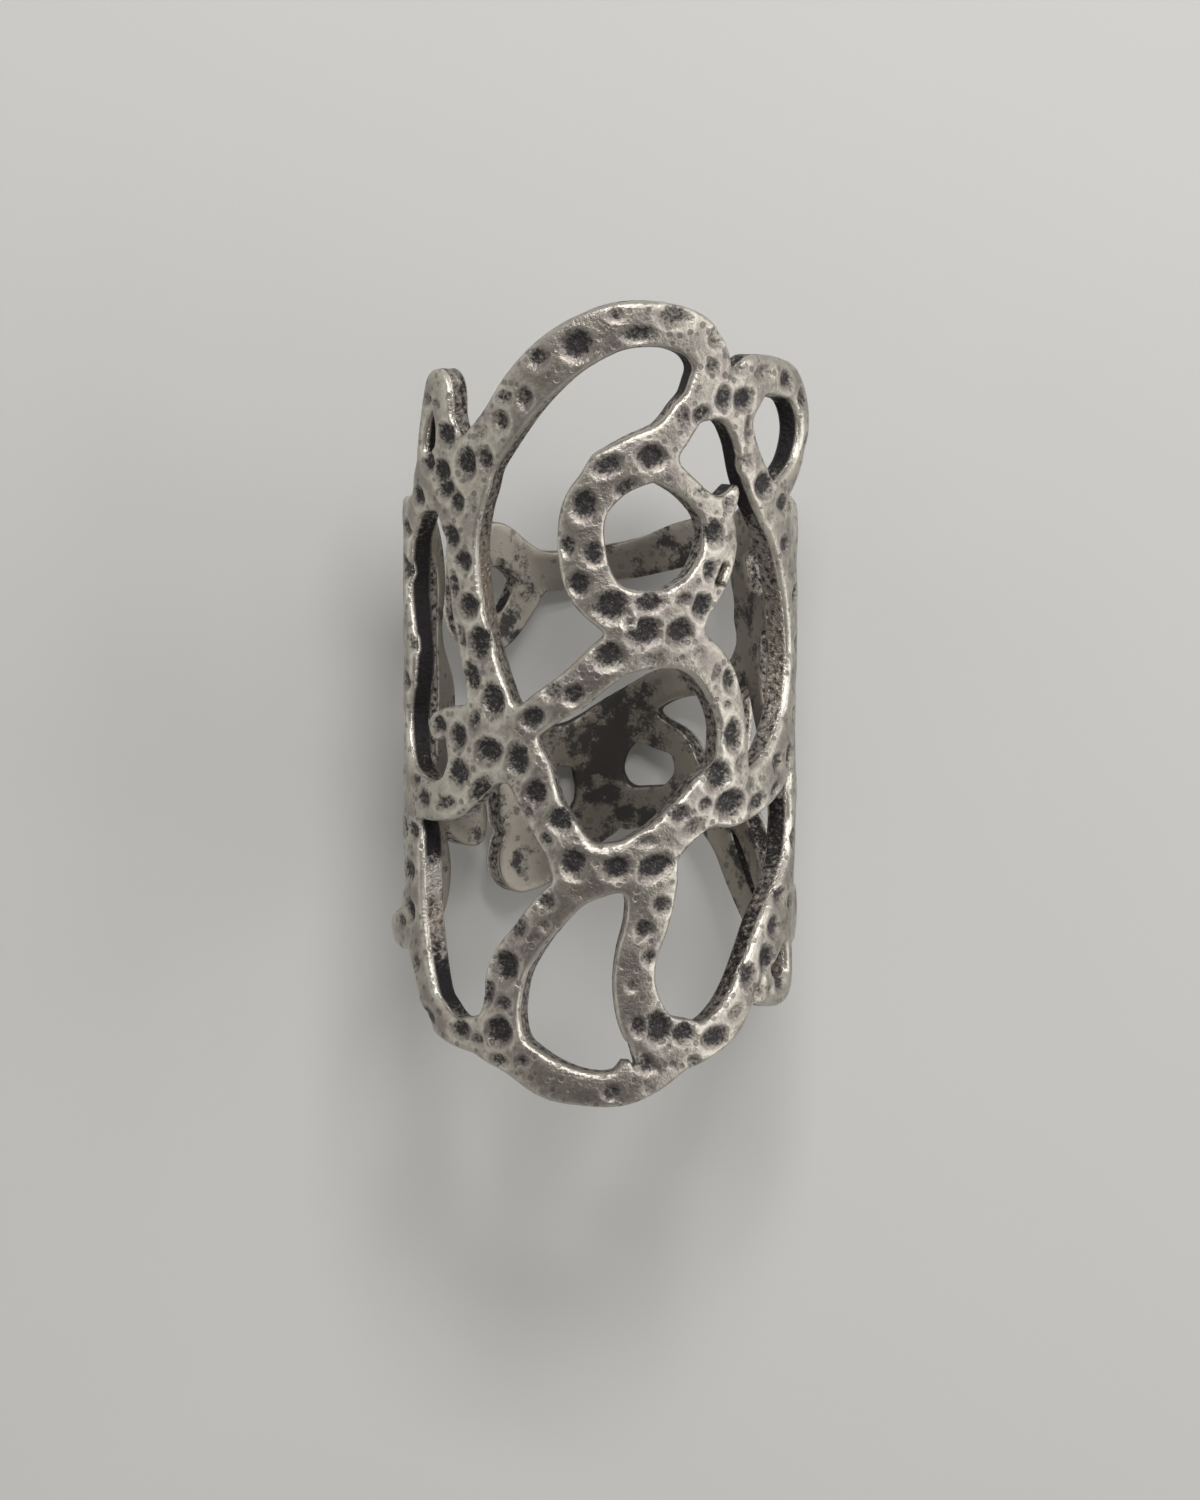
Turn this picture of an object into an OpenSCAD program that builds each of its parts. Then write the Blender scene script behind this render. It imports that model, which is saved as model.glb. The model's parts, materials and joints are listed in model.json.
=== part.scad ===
// Wrap ring: one cast openwork band that wraps a finger, with its two ends meeting at the back.
// The band is drawn flat, as strands that are laid out by the angle round the ring and the height along
// it. Where strands meet they blend, and what they leave bare is open. The flat pattern is then rolled
// into a wall of even thickness.
// The ring lies on its back. The finger goes through along Y, the long front face looks up along +Z and
// its right-hand side is towards +X.

/* [Ring] */
// Inside diameter, where the finger goes
bore_d = 18; // [16:0.5:21]
// Thickness of the cast wall
wall = 1.4; // [1.1:0.1:1.8]
// Depth of the worn flat at the back, on which the ring rests
flat_depth = 0.3; // [0.1:0.05:0.4]
// How far the outer face rolls down at each cut edge
edge_drop = 0.2; // [0:0.05:0.3]

/* [Openwork] */
// Width of all strands, as a share of the widths in their tables
strand_scale = 1; // [0.95:0.05:1.15]
// Width of the blend where two strands meet
fillet = 0.5; // [0.3:0.1:0.8]
// How far the upper right loop springs outward
loop_flare = 0.7; // [0:0.1:1]
// How far the lower left lobe springs outward
lobe_flare = 0.7; // [0:0.1:1]

/* [Facets] */
// Step from column to column round the ring, in degrees
column_step = 5; // [4:0.5:5.5]
// Step from row to row along the ring
row_step = 0.85; // [0.75:0.05:0.95]

/* [Hidden] */

// Columns of a strand's table: degrees from the middle of the front, millimetres above the middle, and
// millimetres across. A strand runs smoothly through its rows, and is a ring if it ends on its first row.
ANGLE = 0;
HEIGHT = 1;
WIDTH = 2;

// Broad top edge, from the left hub up and over to the right corner
crown = [
    [-44, 11.6, 3], [-37.5, 12.8, 2.6], [-30.5, 14.2, 2.4], [-22.5, 16, 2.6], [-13, 17.6, 2.7], [-3, 18.7, 2.6],
    [7, 19.3, 2.4], [19, 19.3, 2.3], [29, 18.7, 2.3], [34.5, 17.4, 2.3], [35, 15.9, 2.4]
];
// Strand that closes the opening under the crown
shoulder = [[35, 15.7, 2.2], [27, 14.9, 1.8], [20, 13.5, 2], [11, 12.7, 2.2], [2, 11.9, 2.2]];
// Ring round the large round hole
disc = [
    [15, 12.4, 2.2], [4, 11.7, 2.3], [-4, 10.2, 2.4], [-5.5, 8.2, 2.5], [-3, 6.2, 2.6], [4, 4.9, 2.4],
    [15, 4.5, 2.4], [26.5, 5, 2.4], [35.1, 6.7, 2.3], [37.8, 8.5, 2.1], [34.6, 9.7, 1.5], [28.6, 10.7, 1.2],
    [22, 11.6, 1.4], [15, 12.4, 2.2]
];
// Pointed tip on the right of that ring
tip = [[37, 9.6, 1.5], [41, 10.2, 1], [43.5, 10.8, 0.5]];
// Short bridge from the crown's corner to the right loop
bridge = [[34, 16, 2.6], [40, 15.7, 2.4], [46, 15.9, 2.4], [50, 16.5, 2.2]];
// Loop that stands out at the upper right
right_loop = [
    [47, 15.4, 2.2], [54, 16.5, 2.1], [64, 16.4, 2], [74, 15.8, 1.9], [79, 13.8, 1.6], [76, 11.8, 1.4],
    [67, 10.5, 1.6]
];
// Long strand down the right side, from the bridge to the chin
post = [
    [42, 15.6, 2.4], [46.5, 13.6, 1.5], [51, 11.7, 1.8], [58, 10.1, 2.2], [66, 8.8, 2.6], [74, 7, 3.2],
    [80, 4.4, 3], [82, 1.4, 2.8], [78, -1.2, 2.8], [70, -3.1, 3], [60, -4.3, 2.6], [50, -5, 2.5], [42, -5, 3]
];
// Thin loop above the left hub
left_lobe = [
    [-49.5, 12.4, 2.4], [-52.3, 14.2, 1.5], [-55, 15.8, 2.1], [-58.8, 15.5, 1.5], [-62.8, 14.4, 0.8],
    [-65.2, 12.6, 0.8], [-64, 11.1, 1.3]
];
// Broad place where the crown, the lobe and the left post meet
left_hub = [[-65, 11, 1.9], [-58, 11.1, 3], [-48, 11.3, 3.6], [-42, 11.4, 3]];
// Strand down the left of the front
left_post = [
    [-46, 10.4, 3.6], [-45, 8.2, 2.4], [-43.5, 5.8, 2.2], [-40.8, 3.6, 2.2], [-37, 1.4, 2.4],
    [-33.5, -0.8, 3], [-33, -2, 3.2]
];
// Strand down the left side, outside the tall left opening
edge = [
    [-62, 10.4, 1.6], [-72, 9.5, 1.4], [-81, 7.8, 1.8], [-83.5, 5, 1.5], [-80.5, 1.8, 2.8],
    [-84.5, -1.2, 1.4], [-82, -3.4, 1.6], [-75, -5.2, 2.2]
];
// Strand from the middle left to the left side, below the tall opening
belly = [[-34, -2.6, 3], [-42, -3.7, 2.9], [-48.5, -5, 2.4], [-57, -5.5, 2.1], [-66, -5.5, 2.2], [-76, -5.3, 2.4]];
// Broad place where five strands meet, left of the middle
hub = [[-44, -2.3, 2.6], [-37, -2, 3], [-29.5, -2, 3.6]];
// Short curl that ends free in the tall left opening
curl = [[-42, -1.3, 2], [-49, -1.1, 1.3], [-55.5, -1.5, 1.4], [-56, -1.7, 1.2]];
// Strand that rises across the middle from the hub to the ring round the hole
sash = [
    [-33, -1.6, 3], [-24, -1.2, 1.9], [-16, -0.2, 1.9], [-8, 0.7, 2.1], [0, 1.9, 2.2], [8, 2.9, 2.4],
    [16, 3.5, 3]
];
// Broad place under the ring round the hole
neck = [[6, 4.6, 2.2], [14, 3.9, 3.2], [22.5, 3.8, 3.2], [25.5, 4.9, 2.4]];
// Strand from the neck down to the chin, right of the four-sided opening
brow = [[10, 2.8, 2], [20, 2.9, 2], [30, 2.4, 2.2], [37.5, 1, 2.2], [42, -1, 1.9], [42.5, -3.2, 2.3], [41, -5, 2.8]];
// Strand from the hub down to the keel, left of the four-sided opening
slope = [[-30, -2.6, 2.8], [-22.5, -3.3, 2.7], [-17, -5.4, 2.2], [-11, -7, 2.3], [-6, -8.2, 2.2]];
// Low middle of the front
keel = [[-8, -8.2, 2.4], [-2, -8.5, 2.6], [6, -8.4, 2.6], [14, -8.3, 3]];
// Strand from the keel up to the post
chin = [[14, -8, 2.8], [20, -7, 2.3], [28, -5.8, 2.3], [35.5, -5, 2.9], [43, -5, 2.8]];
// Legs that carry the hem
left_leg = [
    [-3, -8.9, 2.2], [-9, -9.7, 2], [-16, -10.9, 2], [-22.5, -12.3, 2], [-28, -13.8, 2.2],
    [-30.5, -15.8, 2.3], [-30.5, -17.4, 2.6]
];
right_leg = [
    [15.5, -9.2, 2.8], [14, -11.2, 2.4], [10.8, -13, 2.2], [10.2, -14.6, 2.3], [12.5, -16.2, 2.6],
    [17, -17.5, 2.8]
];
// Bottom edge, from the left leg along the front and up the right side to the post
hem = [
    [-33, -17.6, 2.2], [-25, -18.4, 2.1], [-15, -19.4, 2.1], [-4, -19.85, 1.8], [6, -19.8, 1.9],
    [14, -18.9, 2.6], [22, -17.8, 2.9], [32, -17.6, 2], [41, -16.7, 2], [47.5, -15.3, 1.8],
    [54, -13.9, 2.2], [62, -12.4, 2.9], [70, -11.2, 3], [78, -9, 2], [82, -6.4, 1.6], [81, -3, 1.6]
];
// Bottom edge on the left, from the left leg up the side
left_hem = [
    [-31, -17.6, 2.2], [-39, -17.4, 2], [-48, -17.4, 1.5], [-56, -16.8, 1.8], [-62, -15.8, 1.8],
    [-69, -13.3, 2.5], [-73, -11, 3], [-75, -8, 3.2]
];
// Thin loop at the lower right
right_tag = [
    [52, -15, 1.8], [58, -15.4, 1.7], [65, -15.7, 1.5], [72, -15.6, 1.3], [76.5, -15, 1.1], [76, -13.4, 1.1],
    [73, -12.2, 1.4]
];
// Left half of the shank, upper and lower strands, and the lobe below them
left_back = [
    [-74, 9.2, 1.6], [-90, 9, 1.8], [-104, 7.8, 1.8], [-111, 5.4, 1.3], [-109.5, 2.2, 1], [-114.5, -1, 2.4],
    [-112, -3.4, 2.2], [-114, -6, 2.6]
];
left_band = [
    [-70, -5.4, 2.2], [-84, -5.2, 2.4], [-98, -5.4, 2.4], [-114, -6.4, 3], [-122, -6.9, 3.3], [-128.5, -7.6, 3.2],
    [-132.5, -8.5, 1.8]
];
side_lobe = [
    [-76, -8, 2.4], [-90, -7.6, 2], [-105, -8, 2.2], [-113.5, -10.2, 1.8], [-110, -12.3, 1.8], [-98, -13, 1.6],
    [-84, -12.9, 2], [-74, -12.3, 2.4]
];
// Loop that starts the right half of the shank
right_node = [
    [80, 7.2, 2.4], [92, 8.4, 2], [105, 9, 1.8], [120, 8.4, 1.9], [126, 6.4, 1.7], [119, 3.4, 2.2],
    [108, 3.6, 1.8], [96, 5, 1.6], [82, 5.2, 2.4]
];
// Upper strand across the back and the open ring that ends it
strip = [[122, 7.6, 2.2], [136, 7.4, 2.2], [152, 6.7, 2.4], [165, 6, 2.1], [180, 5.5, 2], [194, 5.2, 2.1], [204, 5.4, 2]];
eye = [
    [204.5, 4.9, 2.2], [211, 6.3, 2.1], [219, 6.8, 2.4], [228, 6, 2.2], [231.5, 4.3, 1.8], [228, 2.6, 1.9],
    [219, 2, 2.1], [211, 2.75, 1.8], [204.5, 4.9, 2.2]
];
// Lower half of the back: braces from the right side, and the pierced plate that ends it
brace_up = [[120, 3, 2.8], [117, 0.8, 2], [111, -1.8, 1.7], [103, -3.8, 1.8], [92, -5.2, 2.2], [82, -5.6, 2.2]];
plate_top = [
    [118, 1.6, 2.6], [128, -0.2, 1.8], [140, -0.4, 1.7], [157, -0.9, 1.9], [172, -2.4, 2.2], [188, -4.1, 2.3],
    [200, -4.4, 2], [210, -5.6, 2.1], [212.3, -7.4, 1.8], [209, -9, 2.4]
];
plate = [
    [148, -6.2, 2], [151.5, -4.3, 1.5], [159.5, -3.6, 1.7], [169, -3, 2.2], [177.5, -4, 2.8], [180.5, -5.8, 3],
    [176, -7.6, 2.4], [163.5, -7.6, 2.2], [153, -7.2, 2], [148, -6.2, 2]
];
plate_side = [[131, -0.4, 1.7], [131, -3, 1.6], [134.5, -5.4, 1.8], [143, -6.4, 2.2], [150, -6.8, 2.4]];
plate_end = [[178, -7.4, 3.4], [188, -9.2, 2.4], [200, -10.2, 3.2], [207.5, -10.4, 3.6]];
brace_low = [[145, -6.8, 2.4], [134, -9, 1.9], [126, -11.2, 1.8], [115, -13, 1.9], [100, -13, 2.2], [86, -11.8, 2.8]];
brace_mid = [[134, -6.6, 1.6], [122, -8.4, 1.5], [112, -10.6, 1.5], [102, -12.4, 2]];

strands = [
    crown, shoulder, disc, tip, bridge, right_loop, post, left_lobe, left_hub, left_post, edge, belly, hub, curl,
    sash, neck, brow, slope, keel, chin, left_leg, right_leg, hem, left_hem, right_tag, left_back, left_band,
    side_lobe, right_node, strip, eye, brace_up, plate_top, plate, plate_side, plate_end, brace_low, brace_mid
];

// Columns of a flare's table: its middle, and how far it spreads round and along the ring
FLARE_ANGLE = 0;
FLARE_HEIGHT = 1;
FLARE_TURN = 2;
FLARE_LENGTH = 3;
loop_place = [80, 14, 18, 3];
lobe_place = [-95, -12.3, 15, 2.6];

// Radii of the wall, and the height of the ring's axis above what it rests on
inner_r = bore_d / 2;
outer_r = inner_r + wall;
axis_height = outer_r - flat_depth;
// Cosine beyond which the wall faces down enough to meet the flat
flat_cosine = -0.9;
// Shift that puts the middle of the ring's length at the origin
centring = 0.1;
// Length of one degree round the outer face
degree_length = outer_r * PI / 180;

// The flat pattern's grid
first_angle = -145;
last_angle = 240;
lowest = -21.5;
highest = 21.3;
column_count = 1 + ceil((last_angle - first_angle) / column_step);
row_count = 1 + ceil((highest - lowest) / row_step);
// Straight links from one row of a strand's table to the next
course_steps = 3;
// Farthest from its middle that a strand can matter to the pattern
reach = 2.8;
// Nearest that a cut edge comes to a grid point, as a share of the step
closest_cut = 0.1;

function clamped(value, low, high) = max(low, min(high, value));

// Smooth value between b and c, at share t of the way, with a before and d after them
function spline(a, b, c, d, t) =
    (2 * b + (c - a) * t + (2 * a - 5 * b + 4 * c - d) * t * t + (3 * b - a - 3 * c + d) * t * t * t) / 2;

// A table's row on the flat pattern: across, up and half width
function flat_row(row) = [row[ANGLE] * degree_length, row[HEIGHT], row[WIDTH] * strand_scale / 2];

// Points along a strand
function course(rows) =
    let (
        knots = [for (row = rows) flat_row(row)],
        last = len(knots) - 1,
        closed = rows[0] == rows[last],
        before = closed ? knots[last - 1] : knots[0],
        after = closed ? knots[1] : knots[last],
        line = concat([before], knots, [after])
    )
    [
        for (i = [0 : last - 1], step = [0 : course_steps - 1])
            spline(line[i], line[i + 1], line[i + 2], line[i + 3], step / course_steps),
        knots[last]
    ];

// A straight link: where it starts, its run, the run squared, its half width there and the change in that
START = 0;
RUN = 1;
RUN_SQUARED = 2;
START_RADIUS = 3;
TAPER = 4;
function link_between(from, to) =
    let (start = [from.x, from.y], run = [to.x, to.y] - start)
    [start, run, run * run, from.z, to.z - from.z];
function links(rows) =
    let (points = course(rows))
    [for (i = [1 : len(points) - 1]) link_between(points[i - 1], points[i])];

// Distance from a point to the edge of a link, negative inside it
function gap_to(link, point) =
    let (
        offset = point - link[START],
        share = clamped(offset * link[RUN] / link[RUN_SQUARED], 0, 1)
    )
    norm(offset - share * link[RUN]) - link[START_RADIUS] - share * link[TAPER];

// The smaller of two distances, with the corner between them filled
function blend(a, b) =
    let (share = clamped(0.5 + (a - b) / fillet / 2, 0, 1))
    a * (1 - share) + b * share - fillet * share * (1 - share);
function blend_all(gaps, i = 0, so_far = reach) =
    i == len(gaps) ? so_far : blend_all(gaps, i + 1, blend(so_far, gaps[i]));

// The links of each strand that matter to a column of the grid
strand_links = [for (rows = strands) links(rows)];
function is_near(link, x) =
    abs(x - link[START].x - link[RUN].x / 2) < abs(link[RUN].x) / 2 + reach;
function links_near(x) =
    [
        for (strand = strand_links)
            let (near = [for (link = strand) if (is_near(link, x)) link])
            if (len(near) > 0) near
    ];

// Distance to the pattern's edge at every point of the grid, negative in the metal
function column_angle(i) = first_angle + i * column_step;
function row_height(j) = lowest + j * row_step;
function column_gaps(x) =
    let (near = links_near(x))
    [
        for (j = [0 : row_count - 1])
            blend_all([for (strand = near) min([for (link = strand) gap_to(link, [x, row_height(j)])])])
    ];
gaps = [for (i = [0 : column_count - 1]) column_gaps(column_angle(i) * degree_length)];

// How far the wall springs outward, and its outer radius, which the flat at the back cuts
function hill(place, angle, height) =
    exp(-pow((angle - place[FLARE_ANGLE]) / place[FLARE_TURN], 2)
        - pow((height - place[FLARE_HEIGHT]) / place[FLARE_LENGTH], 2));
function flare(angle, height) =
    loop_flare * hill(loop_place, angle, height) + lobe_flare * hill(lobe_place, angle, height);
function outer_at(angle, height) =
    let (round_radius = outer_r + flare(angle, height))
    cos(angle) > flat_cosine ? round_radius : min(round_radius, -axis_height / cos(angle));
function inner_at(angle, height) = inner_r + flare(angle, height);

// Rolls a point of the flat pattern up
function rolled(angle, height, radius) =
    [radius * sin(angle), height + centring, axis_height + radius * cos(angle)];

// Where the edge cuts the line from one grid point to the next, as a share of the step
function cut_share(from, to) =
    from == to ? 0.5 : clamped(from / (from - to), closest_cut, 1 - closest_cut);

// Six points belong to each grid point: outer and inner face there, at the cut on its right, and at the
// cut above it
POINTS_EACH = 6;
OUTER = 0;
INNER = 1;
CUT_RIGHT = 2;
CUT_ABOVE = 4;
function grid_points(i, j) =
    let (
        here = gaps[i][j],
        right = gaps[min(i + 1, column_count - 1)][j],
        above = gaps[i][min(j + 1, row_count - 1)],
        angle = column_angle(i),
        height = row_height(j),
        cut_angle = angle + column_step * cut_share(here, right),
        cut_height = height + row_step * cut_share(here, above)
    )
    [
        rolled(angle, height, outer_at(angle, height)),
        rolled(angle, height, inner_at(angle, height)),
        rolled(cut_angle, height, outer_at(cut_angle, height) - edge_drop),
        rolled(cut_angle, height, inner_at(cut_angle, height)),
        rolled(angle, cut_height, outer_at(angle, cut_height) - edge_drop),
        rolled(angle, cut_height, inner_at(angle, cut_height))
    ];
band_points = [for (i = [0 : column_count - 1], j = [0 : row_count - 1], point = grid_points(i, j)) point];

function first_point(i, j) = POINTS_EACH * (i * row_count + j);
function is_cut(point) = point % POINTS_EACH >= CUT_RIGHT;

// Outlines of the metal in one cell, anticlockwise from outside. A cell whose metal touches only across
// a corner gives two triangles.
function cell_outlines(i, j) =
    let (
        metal = [gaps[i][j] < 0, gaps[i + 1][j] < 0, gaps[i + 1][j + 1] < 0, gaps[i][j + 1] < 0],
        corners = [first_point(i, j), first_point(i + 1, j), first_point(i + 1, j + 1), first_point(i, j + 1)],
        cuts = [
            corners[0] + CUT_RIGHT,
            corners[1] + CUT_ABOVE,
            corners[3] + CUT_RIGHT,
            corners[0] + CUT_ABOVE
        ],
        across = metal[0] == metal[2] && metal[1] == metal[3] && metal[0] != metal[1]
    )
    across
        ? [for (k = [0 : 3]) if (metal[k]) [cuts[(k + 3) % 4], corners[k], cuts[k]]]
        : [[
            for (k = [0 : 3])
                each [
                    if (metal[k]) corners[k],
                    if (metal[k] != metal[(k + 1) % 4]) cuts[k]
                ]
        ]];

// Outer face, inner face and cut edge over one outline
function outline_faces(outline) =
    let (last = len(outline) - 1)
    [
        for (k = [2 : 1 : last])
            each [
                [outline[0], outline[k], outline[k - 1]],
                [outline[0] + INNER, outline[k - 1] + INNER, outline[k] + INNER]
            ],
        for (k = [0 : 1 : last])
            let (a = outline[k], b = outline[k == last ? 0 : k + 1])
            if (is_cut(a) && is_cut(b))
                each [
                    [a, b, b + INNER],
                    [a, b + INNER, a + INNER]
                ]
    ];
band_faces = [
    for (i = [0 : column_count - 2], j = [0 : row_count - 2], outline = cell_outlines(i, j))
        each outline_faces(outline)
];

// The whole ring is one casting
module band() {
    color([0.62, 0.59, 0.56])
        polyhedron(points = band_points, faces = band_faces);
}

band();
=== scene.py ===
"""Wrap ring of cast, darkened silver, lying on its back on a pale floor.

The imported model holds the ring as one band. This script draws the same openwork pattern finely, laid flat
by the angle round the ring and the height along it, rolls it up with rounded edges and hammered dimples,
and lets that mesh stand for the band. Lengths are in millimetres until the mesh is made, in metres.
"""

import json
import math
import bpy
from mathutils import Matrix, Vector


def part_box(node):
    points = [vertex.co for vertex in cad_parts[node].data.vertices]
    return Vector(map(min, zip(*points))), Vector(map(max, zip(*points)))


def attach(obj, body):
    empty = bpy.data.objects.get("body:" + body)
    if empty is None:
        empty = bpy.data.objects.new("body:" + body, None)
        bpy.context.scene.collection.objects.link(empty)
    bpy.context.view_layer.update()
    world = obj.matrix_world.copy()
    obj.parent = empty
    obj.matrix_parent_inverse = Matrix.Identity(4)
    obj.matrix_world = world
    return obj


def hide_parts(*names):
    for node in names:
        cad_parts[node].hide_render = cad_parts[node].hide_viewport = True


bl_info = {
    "name": "Wrap Ring",
    "version": (1, 0, 0),
    "blender": (4, 5, 0),
    "location": "3D View > Sidebar > Wrap Ring",
    "description": "Builds an openwork wrap ring of darkened silver and the stage that it is shown on",
    "category": "Object",
}

import bpy
import numpy as np
from mathutils import Matrix, Vector, geometry, noise

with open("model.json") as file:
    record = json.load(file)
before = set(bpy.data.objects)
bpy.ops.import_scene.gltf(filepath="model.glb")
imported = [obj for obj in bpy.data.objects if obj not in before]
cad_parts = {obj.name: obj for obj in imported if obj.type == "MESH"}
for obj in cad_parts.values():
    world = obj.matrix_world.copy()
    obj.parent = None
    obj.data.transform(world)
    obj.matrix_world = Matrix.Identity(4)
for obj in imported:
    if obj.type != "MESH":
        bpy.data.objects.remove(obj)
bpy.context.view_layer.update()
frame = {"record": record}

# One millimetre, in metres
MM = 0.001
# The finger hole as the record states it, and the band's highest point, give the wall's two radii
FINGER_HOLE = next(mount for mount in frame["record"]["mounts"] if mount["name"] == "finger_hole")
BORE_RADIUS = FINGER_HOLE["dims"]["r_mm"]
AXIS_HEIGHT = FINGER_HOLE["pos_m"][2] / MM
OUTER_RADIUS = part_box("band")[1].z / MM - AXIS_HEIGHT
# Shift along the ring that puts the middle of its length at the origin
CENTRING = FINGER_HOLE["pos_m"][1] / MM

# The flat pattern: length of one degree round the outer face, its ends in degrees and in height
DEGREE = OUTER_RADIUS * math.pi / 180
FIRST_ANGLE = -145
LAST_ANGLE = 240
LOWEST = -21.5
HIGHEST = 21.3
# Step of the grid on which the pattern is worked out, and how far from its middle a strand matters
CELL = 0.05
REACH = 2.8
# Straight links from one row of a strand's table to the next
LINKS_PER_ROW = 6
# Width of the rounding where a slot is cut, and how far from it the slot matters
SLOT_FILLET = 0.15
SLOT_REACH = 1
# How far from the cut edge true distances are worked out, and the area of the smallest opening kept
EDGE_REACH = 1.4
SMALLEST_OPENING = 0.1
# Steps in which a point is moved across the cut edge, and the least steepness that they reckon with
LEVEL_STEPS = 3
LEAST_STEEPNESS = 0.3

# Places where the wall springs outward: angle, height, and spread in degrees and in height
LOOP_PLACE = (80, 14, 18, 3)
LOBE_PLACE = (-95, -12.3, 15, 2.6)
# Cosine beyond which the wall faces down enough to meet the flat on which the ring rests
FLAT_COSINE = 0.9

# Distance between the points along a cut edge, and the fewest points round an opening
EDGE_STEP = 0.16
FEWEST_POINTS = 12
# Turns of the rounded edge that have points, in degrees, and shares of the way down the wall that have
ROLL_TURNS = (0, 30, 60, 90)
WALL_SHARES = (0.33, 0.67)
# How far the walls are uneven, and the size of that noise
WALL_SHAKE = 0.04
WALL_NOISE = 0.5
# Points inside a face: how far they are shaken and stay off its border, as shares of their step
INNER_SHAKE = 0.1
INNER_MARGIN = 0.6
# What the triangulation gives, triangles over the whole hull, and how close two points are that it joins
WHOLE_HULL = 0
SAME_POINT = 1e-7

# Section of a dimple, by the distance from its middle in half sizes: where it starts to sink and the span
# over which it does, where its rim stands and how wide that is, where its soot starts and the span over
# which that thickens
SINK_START = 1.45
SINK_SPAN = 0.95
RIM_PLACE = 1.52
RIM_WIDTH = 0.2
SOOT_START = 1.5
SOOT_SPAN = 1.05
# How far the soot lies above the dimple's middle, which adds painted shade on its upper inside wall, and a
# dimple's greatest depth, as shares of its size
SOOT_AND_SHADE_RISE = 0.1
STEEPEST = 0.24
# Depth from which a dimple has its full rim and soot, and the share of soot in a dimple whose inside is
# lightened with polish as a painted glint
FULL_DEPTH = 0.25
PAINTED_GLINT_SOOT_SHARE = 0.65
# Width of the ridge between two dimples in half sizes, the share of their depth that it keeps, and a
# distance beyond all dimples
RIDGE_WIDTH = 0.3
RIDGE_DEPTH = 0.3
FAR = 9.0
# How far a dimple's outline and its floor are uneven, and the sizes of those noises
OUTLINE_SHAKE = 0.16
OUTLINE_NOISE = 0.45
FLOOR_SHAKE = 0.18
FLOOR_NOISE = 0.22
# Height of the lip round a dimple, and the height from which a raised lip is worn quite bare
RIM_HEIGHT = 0.012
BARE_LIP = 0.2
# Size of the face's slow swells, and how far from the cut edge its dome reaches
SWELL_SIZE = 3.2
DOME_REACH = 0.5

# Stretch of angles in which the dimples are charted
SEEN_FROM = -83
SEEN_TO = 84
# Dimples scattered outside it: how often a place is tried, the ranges from which each one is drawn, where
# squeeze is its size up as a share of that across, and how far it stays from the cut edge and from others,
# as shares of the sizes
SCATTER_TRIES = 6000
SCATTER_RANGES = {
    "angle": (FIRST_ANGLE, LAST_ANGLE),
    "height": (LOWEST, HIGHEST),
    "size": (0.7, 1.4),
    "squeeze": (0.75, 1),
    "turn": (-60, 60),
    "depth": (0.12, 0.3),
}
SCATTER_MARGIN = 0.42
SCATTER_SPACING = 0.62

# Painted shade on the front's middle, for the darker reflection that its flats give back towards the
# camera: where it lies, the degrees over which it fades out, how much farther it reaches in the lower end,
# the height below which it does, and over how much height that sets in
MIDDLE_ANGLE = 10
MIDDLE_SPREAD = 46
LOWER_SPREAD = 40
LOWER_START = -7
LOWER_FADE = 6
# Distance from the cut edge over which its wear fades out
EDGE_WEAR = 0.3
# Soot and brown warmth on the walls and inside, away from the stains
PLAIN_SOOT = 0.45
PLAIN_WARMTH = 0.3

# Stains on the walls and inside, the first of them partly painted shade: angle, height, spread in degrees
# and in height, and how much more soot and warmth there is in the middle of the stain
STAINS = {
    # Painted shade and black patina: the wall and the inner face behind the tall left opening, which lie in
    # shadow, are made near black
    "wall left of the tall left opening, painted shade and patina": (-80, 2, 14, 6, 0.9, -0.3),
    "wall of the left lobe's opening": (-60, 13.5, 6, 1.5, 0.9, -0.3),
    "wall right of the upper right opening": (47, 12, 6, 4, 0.9, -0.3),
    "wall right of the right loop's opening": (76, 13, 8, 2.5, 0.8, -0.1),
    "wall over the left hem": (-68, -7.2, 10, 1.3, 0.9, -0.3),
    "bright patch below it": (-66, -9.6, 8, 1, -0.3, -0.3),
    "pink stretch below that": (-64, -12, 8, 1.2, -0.1, 0.4),
    "wall at the lower left": (-57, -15.2, 8, 1.2, 0.7, 0),
    "wall right of the tall right opening": (75, 2, 8, 3.5, -0.05, 0.5),
    "wall over the hem": (76, -7.5, 8, 2, 0.3, 0.1),
    "wall at the lower right": (48, -13, 16, 3, 0.15, 0.1),
    "wall right of the upper left opening": (-37, 6, 5, 3, -0.2, 0.6),
    "upper corner of the large opening": (30, 16.5, 6, 1.5, 0.7, 0),
    "inner face of the plate": (179, -4.5, 22, 3.6, 0.5, 0.3),
    "lower part of the eye": (212, 2.8, 7, 1.2, 0.4, 0),
    "right end of the strip": (149, 6.6, 10, 1.8, 0.25, 0),
    "braces at the right": (126, -9.5, 14, 3, 0.3, 0.1),
}

# Places of the three finishes in the mesh's list of materials
OUTER = 0
CUT = 1
INNER = 2

# Width of the floor in metres, and how dark its mottle is beside its own colour
FLOOR_WIDTH = 4
FLOOR_SHADE = 0.96
# Lights round the ring: place and size in metres. The stage's settings hold their powers by the same names.
LIGHTS = {
    "key": ((0.04, 0.2, 0.26), (0.13, 0.09)),
    "left_fill": ((-0.36, 0.02, 0.16), (0.45, 0.3)),
    "right_fill": ((0.36, 0.02, 0.16), (0.45, 0.3)),
}
# The sky's colour, and how high in it the light starts and ends to fade from the horizon's to the zenith's
SKY_COLOUR = (1, 0.985, 0.95, 1)
FADE_START = 0.05
FADE_END = 0.85
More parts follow.
